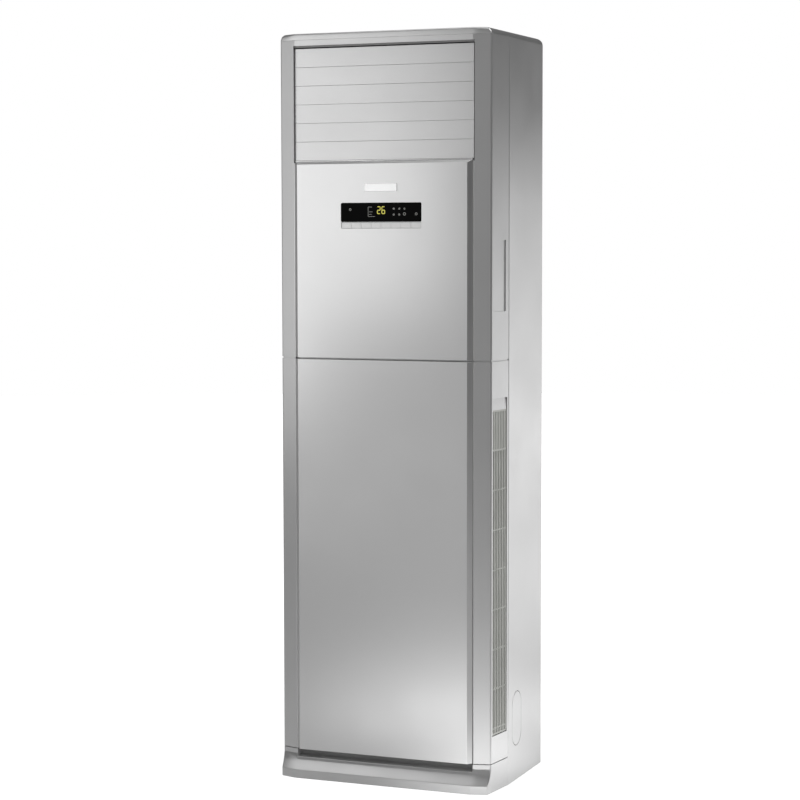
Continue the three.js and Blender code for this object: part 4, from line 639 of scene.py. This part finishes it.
# %% Blades, vanes, bars and motors
BLADE_REACH = 0.0028   # the left end of the blade's face laps over its ear by this much
for number in range(1, 7):
    blade = stands_for(softened(f"louver_{number}", CASE_PAINT, 0.0003), f"louver_{number}")
    face_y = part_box(f"louver_{number}")[0][1]
    ear_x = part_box(f"louver_{number}")[0][0] + 0.0078
    for corner in blade.data.vertices:
        if corner.co.x < ear_x and corner.co.y < face_y + 0.003:
            corner.co.x -= BLADE_REACH
for number in range(1, 6):
    stands_for(softened(f"vane_{number}", WHITE_PLASTIC, 0.0005), f"vane_{number}")
for node, material, radius in (("outlet_duct", WHITE_PLASTIC, 0.0006), ("louver_link", DARK_PLASTIC, 0.0003),
                               ("vane_link", DARK_PLASTIC, 0.0003), ("louver_motor", GALVANISED, 0.0005),
                               ("vane_motor", GALVANISED, 0.0005)):
    stands_for(softened(node, material, radius), node)
print("blades and vanes", 6 + 5)

# %% [markdown]
# ### Seals of the outlet
# Strips of grey plastic close the joints beside and over the blades, strips of light grey foam fill the gaps
# beside the panels, and a bright trim lies on the head of the upper panel. The greys of the strips are painted
# shade, set so that the joints read as soft shadow lines. All are glued to the casing, clear of the sweep of the
# blades, with a rounded face to the front.

# %% Seals of painted shade, and trim
duct_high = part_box("outlet_duct")[1]
WALL_X = duct_high[0] - 0.002                       # inner wall of the outlet
OUTLET_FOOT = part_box("upper_panel")[1][2] - 0.003
OUTLET_HEAD = duct_high[2] - 0.002
BLADE_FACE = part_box("louver_1")[0][1]


def add_strip(work, low, high):
    """A long strip with its front edges rounded to half its thickness."""
    made = bmesh.ops.create_cube(work, size=1.0)
    size = Vector(high) - Vector(low)
    bmesh.ops.scale(work, vec=size, verts=made["verts"])
    bmesh.ops.translate(work, vec=(Vector(low) + Vector(high)) / 2, verts=made["verts"])
    front = [e for v in made["verts"] for e in v.link_edges
             if all(abs(c.co.y - low[1]) < 1e-6 for c in e.verts)]
    bmesh.ops.bevel(work, geom=list(set(front)), offset=min(size) * 0.4, segments=3, profile=0.5, affect="EDGES")


def side_seals(work):
    add_strip(work, (-WALL_X + 0.0001, BLADE_FACE + 0.001, OUTLET_FOOT + 0.006),
              (-WALL_X + 0.0009, BLADE_FACE + 0.005, OUTLET_HEAD - 0.006))
    add_strip(work, (WALL_X - 0.0034, BLADE_FACE + 0.0004, OUTLET_FOOT + 0.006),
              (WALL_X - 0.0001, BLADE_FACE + 0.005, OUTLET_HEAD - 0.006))


def head_seal(work):
    add_strip(work, (-WALL_X + 0.0005, BLADE_FACE - 0.002, OUTLET_HEAD - 0.0055),
              (WALL_X - 0.0005, BLADE_FACE + 0.001, OUTLET_HEAD - 0.0001))


def panel_seals(work):
    face = case_low.y
    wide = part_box("upper_panel")[1][0]
    for panel in ("lower_panel", "upper_panel"):
        low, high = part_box(panel)
        for side in (-1, 1):
            ends = sorted((side * (wide + 0.0002), side * (wide + 0.0014)))
            add_strip(work, (ends[0], face + 0.0012, low[2] + 0.003), (ends[1], face + 0.0045, high[2] - 0.003))


def foot_trim(work):
    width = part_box("upper_panel")[1][0]
    add_strip(work, (-width, BLADE_FACE - 0.009, OUTLET_FOOT + 0.0032),
              (width, BLADE_FACE - 0.0005, OUTLET_FOOT + 0.0056))


# The greys of the seals are painted shade of the joints they fill; the trim is bright metal.
for name, build, material in (("side_seals", side_seals, OUTLET_SEAL_SHADE), ("head_seal", head_seal, OUTLET_SEAL_SHADE),
                              ("panel_seals", panel_seals, PANEL_SEAL_SHADE),
                              ("foot_trim", foot_trim, BRIGHT_TRIM)):
    strip = new_piece(name, mesh_from(name, build))
    strip.data.materials.append(material)
    smooth_shaded(strip.data)
    belongs_with(strip, "upper_casing")
print("seals", 4)

# %% [markdown]
# ## Badge, window and buttons
# The badge is a bare bright plate. The window is black and shiny, and the symbols behind it show through when
# they are lit: two figures for the temperature in yellow, and small grey signs at both sides. They are thin
# films here, a tenth of a millimetre proud of the glass.

# %% Badge, window and buttons
stands_for(softened("badge_plate", BRIGHT_TRIM, 0.0005), "badge_plate")
stands_for(softened("display_window", BLACK_GLASS, 0.0004), "display_window")
for number in range(1, 9):
    stands_for(softened(f"button_{number}", KEY_PLASTIC, 0.0006), f"button_{number}")

window_low, window_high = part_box("display_window")
WINDOW_MIDDLE = Vector(((window_low[0] + window_high[0]) / 2, 0, (window_low[2] + window_high[2]) / 2))
WINDOW_FACE = window_low[1]
FILM = 0.0001


def add_bar(work, x0, z0, x1, z1, width):
    """A flat bar between two points of the window's plane, with pointed ends."""
    start, end = Vector((x0, 0, z0)), Vector((x1, 0, z1))
    along = (end - start).normalized()
    across = Vector((-along.z, 0, along.x)) * (width / 2)
    tip = along * (width / 2)
    outline = [start, start + tip + across, end - tip + across, end, end - tip - across, start + tip - across]
    place = WINDOW_MIDDLE + Vector((0, WINDOW_FACE - FILM, 0))
    front = [work.verts.new(place + p) for p in outline]
    back = [work.verts.new(place + p + Vector((0, FILM, 0))) for p in outline]
    work.faces.new(front)
    work.faces.new(list(reversed(back)))
    for i in range(6):
        j = (i + 1) % 6
        work.faces.new((front[j], front[i], back[i], back[j]))


SEGMENTS = {"2": "abged", "6": "afgedc"}


def add_digit(work, figure, x, z, wide, high, width):
    """A figure of seven bars about a middle; the bars are called a to g in the usual order."""
    left, right, low, mid, top = x - wide / 2, x + wide / 2, z - high / 2, z, z + high / 2
    ends = {"a": (left, top, right, top), "b": (right, top, right, mid), "c": (right, mid, right, low),
            "d": (left, low, right, low), "e": (left, mid, left, low), "f": (left, top, left, mid),
            "g": (left, mid, right, mid)}
    for segment in SEGMENTS[figure]:
        add_bar(work, *ends[segment], width)


def lit_figures(work):
    add_digit(work, "2", -0.0055, 0.005, 0.0075, 0.017, 0.0022)
    add_digit(work, "6", 0.0065, 0.005, 0.0075, 0.017, 0.0022)


def grey_signs(work):
    for x, z in ((0.0343, 0.0085), (0.0489, 0.0085), (0.0343, -0.006), (0.0489, -0.006)):
        for turn in (0, 60, 120):
            dx, dz = 0.0032 * math.cos(math.radians(turn)), 0.0032 * math.sin(math.radians(turn))
            add_bar(work, x - dx, z - dz, x + dx, z + dz, 0.0011)
    for x, z, size in ((0.0626, -0.0046, 0.0034), (0.0938, -0.0045, 0.003), (-0.0821, 0.007, 0.0028), (0.0626, 0.008, 0.002)):
        for i in range(6):
            a, b = math.radians(60 * i), math.radians(60 * (i + 1))
            add_bar(work, x + size * math.cos(a), z + size * math.sin(a), x + size * math.cos(b), z + size * math.sin(b), 0.0014)
    for x0, z0, x1, z1 in ((-0.034, 0.013, -0.0235, 0.013), (-0.034, 0.013, -0.034, -0.0105), (-0.034, -0.0105, -0.0155, -0.0105),
                           (-0.0325, 0.001, -0.022, 0.001), (-0.0325, -0.005, -0.024, -0.005)):
        add_bar(work, x0, z0, x1, z1, 0.0009)


for name, build, material in (("lit_figures", lit_figures, LIT_YELLOW), ("lit_signs", grey_signs, LIT_GREY)):
    symbols = new_piece(name, mesh_from(name, build))
    symbols.data.materials.append(material)
    belongs_with(symbols, "display_window")
    print(name, len(symbols.data.polygons), "faces")

# %% [markdown]
# ## Intake grilles and filters
# The grilles are moulded in one piece, with upright slats crossed by a few ribs, and painted like the casing. The
# slats here take a darker, duller copy of that silver, a painted shade of the slatted part, and the finger plate keeps
# the casing's own. A filter clips on behind: a frame with a fine net, here strands 2 mm apart that lie on the filter's
# panes.

# %% Grilles
grille_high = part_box("intake_grille_right")[1][2]
PLATE_HEIGHT = 0.0339  # of the finger plate over the grille
PLATE_LIFT = 0.0045    # its head is this much further out than in the solid


def shaped_grille(corner):
    if corner.z > grille_high - 0.001:
        shift_on_strip(corner, PLATE_LIFT, 0)


for side in ("left", "right"):
    grille = stands_for(softened(f"intake_grille_{side}", GRILLE_SHADED_SILVER, 0.0004, 2, shaped_grille),
                        f"intake_grille_{side}")
    # The finger plate keeps the casing's silver; the slats keep the darker copy, which is painted shade.
    grille.data.materials.append(CASE_PAINT)
    for face in grille.data.polygons:
        if face.center.z > grille_high - PLATE_HEIGHT:
            face.material_index = 1
    print("grille", side, len(grille.data.polygons), "faces")

# %% Strands of the filter nets
STRAND = 0.0005
NET_PITCH = 0.004


def box_mesh(name, size):
    def build(work):
        bmesh.ops.create_cube(work, size=1.0)
        bmesh.ops.scale(work, vec=size, verts=work.verts)
    return mesh_from(name, build)


def filter_net(side):
    """Upright and level strands on the inner face of a filter, which lies askew like the side strip."""
    node = f"air_filter_{side}"
    low, high = (Vector(c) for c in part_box(node))
    sign = 1 if side == "right" else -1
    tall = high.z - low.z - 0.014
    depth = high.y - low.y
    lean = STRIP_TURN * sign
    along = Vector((math.sin(lean), math.cos(lean), 0))
    outward = Vector((math.cos(lean) * sign, -abs(math.sin(lean)), 0))
    middle = (low + high) / 2
    middle += outward * NET_OFFSET
    reach = depth - 0.016
    turn = (0, 0, -lean)
    count = int(reach / NET_PITCH)
    start = middle - along * (count - 1) * NET_PITCH / 2
    upright = copies(f"net_upright_{side}", IN_A_ROW, box_mesh("strand", (STRAND, STRAND, tall)), FILTER_NET,
                     Count=count, Start=start, Step=along * NET_PITCH, Turn=turn)
    rows = int(tall / NET_PITCH)
    foot = Vector((middle.x, middle.y, middle.z - (rows - 1) * NET_PITCH / 2)) + outward * STRAND
    level = copies(f"net_level_{side}", IN_A_ROW, box_mesh("strand", (STRAND, reach, STRAND)), FILTER_NET,
                   Count=rows, Start=foot, Step=Vector((0, 0, NET_PITCH)), Turn=turn)
    for piece in (upright, level):
        belongs_with(piece, node)
    return count + rows


NET_OFFSET = 0.0006
for side in ("left", "right"):
    stands_for(softened(f"air_filter_{side}", FILTER_NET, 0.0003), f"air_filter_{side}")
    print("strands", side, filter_net(side))

# %% [markdown]
# ## Cooling coil
# The coil is a stack of thin aluminium fins on copper tubes that run from end plate to end plate. Its fins are the
# piece that repeats most in the whole cabinet, so they come from the row tree: one thin plate, many times.

# %% Fins and tubes of the coil
core_low, core_high = (Vector(c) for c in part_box("evaporator_core"))
FIN_PITCH = 0.0022
FIN_SHEET = 0.00025
COIL_DEEP = 0.055
COIL_LONG = 0.6
lean = math.acos((core_high.z - core_low.z - COIL_DEEP * 0.44) / COIL_LONG)
for _ in range(20):
    lean = math.asin((core_high.y - core_low.y - COIL_DEEP * math.cos(lean)) / COIL_LONG)
coil_middle = (core_low + core_high) / 2
fin_count = int((core_high.x - core_low.x) / FIN_PITCH)
fins = copies("coil_fins", IN_A_ROW, box_mesh("fin", (FIN_SHEET, COIL_DEEP - 0.0006, COIL_LONG - 0.0006)), ALUMINIUM,
              Count=fin_count, Start=coil_middle - Vector(((fin_count - 1) * FIN_PITCH / 2, 0, 0)),
              Step=Vector((FIN_PITCH, 0, 0)), Turn=(-lean, 0, 0))
stands_for(fins, "evaporator_core")


def round_bar(radius, length, sides=12):
    def build(work):
        bmesh.ops.create_cone(work, cap_ends=True, segments=sides, radius1=radius, radius2=radius, depth=length)
        bmesh.ops.bevel(work, geom=[e for e in work.edges if e.is_manifold and e.calc_face_angle() > 1.2],
                        offset=radius * 0.1, segments=1, affect="EDGES")
    return mesh_from("round_bar", build)


tube_rows = []
up = Vector((0, math.sin(lean), math.cos(lean)))
back = Vector((0, math.cos(lean), -math.sin(lean)))
for i in range(12):
    for layer in (-1, 1):
        place = coil_middle + up * ((i - 5.5) * COIL_LONG / 12) + back * (layer * 0.0135 + 0.004)
        tube_rows.append(place)
tubes = copies("coil_tubes", ON_POINTS, round_bar(0.0045, core_high.x - core_low.x - 0.002), COPPER, tube_rows,
               Turn=(0, math.radians(90), 0))
smooth_shaded(tubes.data, 50)
belongs_with(tubes, "evaporator_core")
for node in ("evaporator_end_left", "evaporator_end_right", "gas_pipe", "liquid_pipe"):
    skin = softened(node, COPPER, 0.0003, 1)
    smooth_shaded(skin.data, 55)
    stands_for(skin, node)
print("fins", fin_count, "tubes", len(tube_rows), "lean", round(math.degrees(lean), 1))

# %% [markdown]
# ## Fan, motor and the sheet parts inside
# The fan wheel is a black moulding of curved blades in a galvanised scroll. Motor, drain pan, base pan, electric
# box and brackets are plain parts with rounded edges; the motor plate and the lid of the electric box also have the
# screws that hold them.

# %% Inner pieces
for node, material, radius in (
        ("impeller", DARK_PLASTIC, 0.0003), ("fan_scroll", GALVANISED, 0.0004), ("inlet_ring", DARK_PLASTIC, 0.0004),
        ("fan_motor", MOTOR_PAINT, 0.0008), ("motor_bracket", GALVANISED, 0.0004), ("base_pan", GALVANISED, 0.0004),
        ("drain_pan", WHITE_PLASTIC, 0.0006), ("electric_box", GALVANISED, 0.0005), ("electric_box_lid", GALVANISED, 0.0004),
        ("terminal_block", DARK_PLASTIC, 0.0005), ("wall_bracket", GALVANISED, 0.0003), ("cable_gland", DARK_PLASTIC, 0.0005),
        ("display_board", BOARD_GREEN, 0.0003)):
    skin = stands_for(softened(node, material, radius), node)
    print(node, len(skin.data.polygons), "faces")

# %% [markdown]
# ### Screws
# Pan heads with a cross recess hold the back sheet, the lid of the electric box, the bell mouth and the motor
# plate; brass ones sit in the terminal block. All sit on the face that they clamp and point away from it.

# %% Screws
def corners_of(node, inset, face):
    """Four places on the low or high Y face of a node, set in from its corners."""
    low, high = (Vector(c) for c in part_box(node))
    y = low.y if face == "front" else high.y
    return [(x, y, z) for x in (low.x + inset, high.x - inset) for z in (low.z + inset, high.z - inset)]


back_low, back_high = (Vector(c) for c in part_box("back_panel"))
SCREW_COLUMN = 0.258
back_spots = [(side * SCREW_COLUMN, back_high.y, 0.06 + i * 0.29) for side in (-1, 1) for i in range(7)]
back_spots += [(x, back_high.y, back_high.z - 0.02) for x in (-0.12, 0.12)]
screws("screws_back", "back_panel", back_spots, BACKWARDS)

lid_low, lid_high = (Vector(c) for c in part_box("electric_box_lid"))
screws("screws_lid", "electric_box_lid", corners_of("electric_box_lid", 0.012, "front"), FORWARDS)

ring_low, ring_high = (Vector(c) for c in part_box("inlet_ring"))
fan_middle = (ring_low + ring_high) / 2
ring_radius = (ring_high.x - ring_low.x) / 2 - 0.007
ring_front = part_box("fan_scroll")[0][1] - 0.0028
ring_spots = [(fan_middle.x + ring_radius * math.cos(math.radians(45 * i + 22)), ring_front,
               fan_middle.z + ring_radius * math.sin(math.radians(45 * i + 22))) for i in range(8)]
screws("screws_ring", "inlet_ring", ring_spots, FORWARDS)
screws("screws_plate", "motor_bracket", corners_of("motor_bracket", 0.014, "back"), BACKWARDS, 0.0045, 0.0018)

block_low, block_high = (Vector(c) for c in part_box("terminal_block"))
WAYS = 6
way = (block_high.x - block_low.x) / WAYS
way_spots = [(block_low.x + way * (i + 0.5), block_low.y + 0.005, (block_low.z + block_high.z) / 2 + 0.002)
             for i in range(WAYS)]
screws("screws_terminals", "terminal_block", way_spots, FORWARDS, 0.0035, 0.0015, BRASS)
print("screws", len(back_spots) + 4 + 8 + 4 + WAYS)

# %% [markdown]
# ## Drain hose
# A corrugated grey hose carries the water from the spout of the drain pan down to the knock-out. It hangs from
# the spout, which it grips, and turns back at its foot. Its rings are a sine along its own length.

# %% Corrugated drain hose

def smooth_route(points, per_span):
    """Points of a centripetal Catmull-Rom curve through a list of points."""
    ends = [points[0] * 2 - points[1], *points, points[-1] * 2 - points[-2]]
    route = []
    for p0, p1, p2, p3 in zip(ends, ends[1:], ends[2:], ends[3:]):
        t1 = math.sqrt((p1 - p0).length)
        t2 = t1 + math.sqrt((p2 - p1).length)
        t3 = t2 + math.sqrt((p3 - p2).length)
        for i in range(per_span):
            t = t1 + (t2 - t1) * i / per_span
            a1 = p0 * ((t1 - t) / t1) + p1 * (t / t1)
            a2 = p1 * ((t2 - t) / (t2 - t1)) + p2 * ((t - t1) / (t2 - t1))
            a3 = p2 * ((t3 - t) / (t3 - t2)) + p3 * ((t - t2) / (t3 - t2))
            b1 = a1 * ((t2 - t) / t2) + a2 * (t / t2)
            b2 = a2 * ((t3 - t) / (t3 - t1)) + a3 * ((t - t1) / (t3 - t1))
            route.append(b1 * ((t2 - t) / (t2 - t1)) + b2 * ((t - t1) / (t2 - t1)))
    route.append(points[-1])
    return route


hose_low, hose_high = (Vector(c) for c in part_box("drain_hose"))
HOSE_RADIUS = (hose_high.x - hose_low.x) / 2
hose_x = (hose_low.x + hose_high.x) / 2
spout_y = hose_low.y + HOSE_RADIUS
hose_end = Vector((hose_x, hose_high.y, hose_low.z + HOSE_RADIUS))
hose_top = hose_high.z
route = smooth_route([Vector((hose_x, spout_y, hose_top)), Vector((hose_x, spout_y, hose_top - 0.06)),
                      Vector((hose_x, spout_y, (hose_top + hose_end.z) / 2)),
                      Vector((hose_x, spout_y, hose_end.z + 0.12)), Vector((hose_x, spout_y + 0.03, hose_end.z + 0.03)),
                      Vector((hose_x, hose_end.y - 0.04, hose_end.z)), hose_end], 40)
RING_PITCH = 0.004
HOSE_BORE = HOSE_RADIUS - 0.0019


def hose(work):
    """A tube along the route: rings outside, a plain bore inside, joined at both ends."""
    sides = 20
    across = Vector((1, 0, 0))
    gone = 0.0
    steps = []
    for i, point in enumerate(route):
        ahead = route[min(i + 1, len(route) - 1)] - route[max(i - 1, 0)]
        if i:
            gone += (point - route[i - 1]).length
        side = across.cross(ahead.normalized())
        wave = 0.0007 * (0.5 - 0.5 * math.cos(math.tau * gone / RING_PITCH))
        for radius, store in ((HOSE_RADIUS - 0.0004 - wave, 0), (HOSE_BORE, 1)):
            ring = [work.verts.new(point + radius * (math.cos(math.tau * k / sides) * across
                                                     + math.sin(math.tau * k / sides) * side)) for k in range(sides)]
            if store == 0:
                outer = ring
        steps.append((outer, ring))
    for (a_out, a_in), (b_out, b_in) in zip(steps, steps[1:]):
        for k in range(sides):
            m = (k + 1) % sides
            work.faces.new((a_out[k], b_out[k], b_out[m], a_out[m]))
            work.faces.new((a_in[m], b_in[m], b_in[k], a_in[k]))
    for outer, inner in (steps[0], steps[-1]):
        for k in range(sides):
            m = (k + 1) % sides
            work.faces.new((outer[k], outer[m], inner[m], inner[k]))


hose_piece = new_piece("drain_hose_rings", mesh_from("drain_hose_rings", hose))
hose_piece.data.materials.append(HOSE_RUBBER)
smooth_shaded(hose_piece.data, 60)
stands_for(hose_piece, "drain_hose")
hose_length = sum((b - a).length for a, b in zip(route, route[1:]))
print("hose", round(hose_length, 3), "m long")

# %% [markdown]
# ### Hose clips
# Three sheet clips hold the hose all the way down. Each is a band round it, a tongue forwards, and a foot that is
# screwed to the back of the ledge that the panels lie on.

# %% Clips of the drain hose
CLIP_HEIGHTS = (0.32, 0.56, 0.8)
CLIP_WIDTH = 0.012
CLIP_SHEET = 0.0012
CLIP_FOOT = 0.016
LEDGE_BACK = case_low.y + 0.0138   # back face of the ledge


def hose_clips(work):
    sides = 24
    inside = HOSE_RADIUS + 0.0002
    for height in CLIP_HEIGHTS:
        low, high = height - CLIP_WIDTH / 2, height + CLIP_WIDTH / 2
        rings = []
        for radius, z in ((inside, low), (inside, high), (inside + CLIP_SHEET, high), (inside + CLIP_SHEET, low)):
            rings.append([work.verts.new((hose_x + radius * math.cos(math.tau * k / sides),
                                          spout_y + radius * math.sin(math.tau * k / sides), z)) for k in range(sides)])
        for near, far in zip(rings, rings[1:] + rings[:1]):
            for k in range(sides):
                m = (k + 1) % sides
                work.faces.new((near[k], near[m], far[m], far[k]))
        add_strip(work, (hose_x - CLIP_SHEET / 2, LEDGE_BACK + CLIP_SHEET, low),
                  (hose_x + CLIP_SHEET / 2, spout_y - inside - CLIP_SHEET / 2, high))
        add_strip(work, (hose_x - CLIP_FOOT / 2, LEDGE_BACK + 0.0001, low),
                  (hose_x + CLIP_FOOT / 2, LEDGE_BACK + CLIP_SHEET, high))


clips = new_piece("hose_clips", mesh_from("hose_clips", hose_clips))
clips.data.materials.append(GALVANISED)
smooth_shaded(clips.data)
belongs_with(clips, "drain_hose")
screws("screws_clips", "drain_hose", [(hose_x + side * CLIP_FOOT / 3, LEDGE_BACK + CLIP_SHEET, height)
                                      for side in (-1, 1) for height in CLIP_HEIGHTS], BACKWARDS, 0.0022, 0.0009)
print("clips", len(CLIP_HEIGHTS))
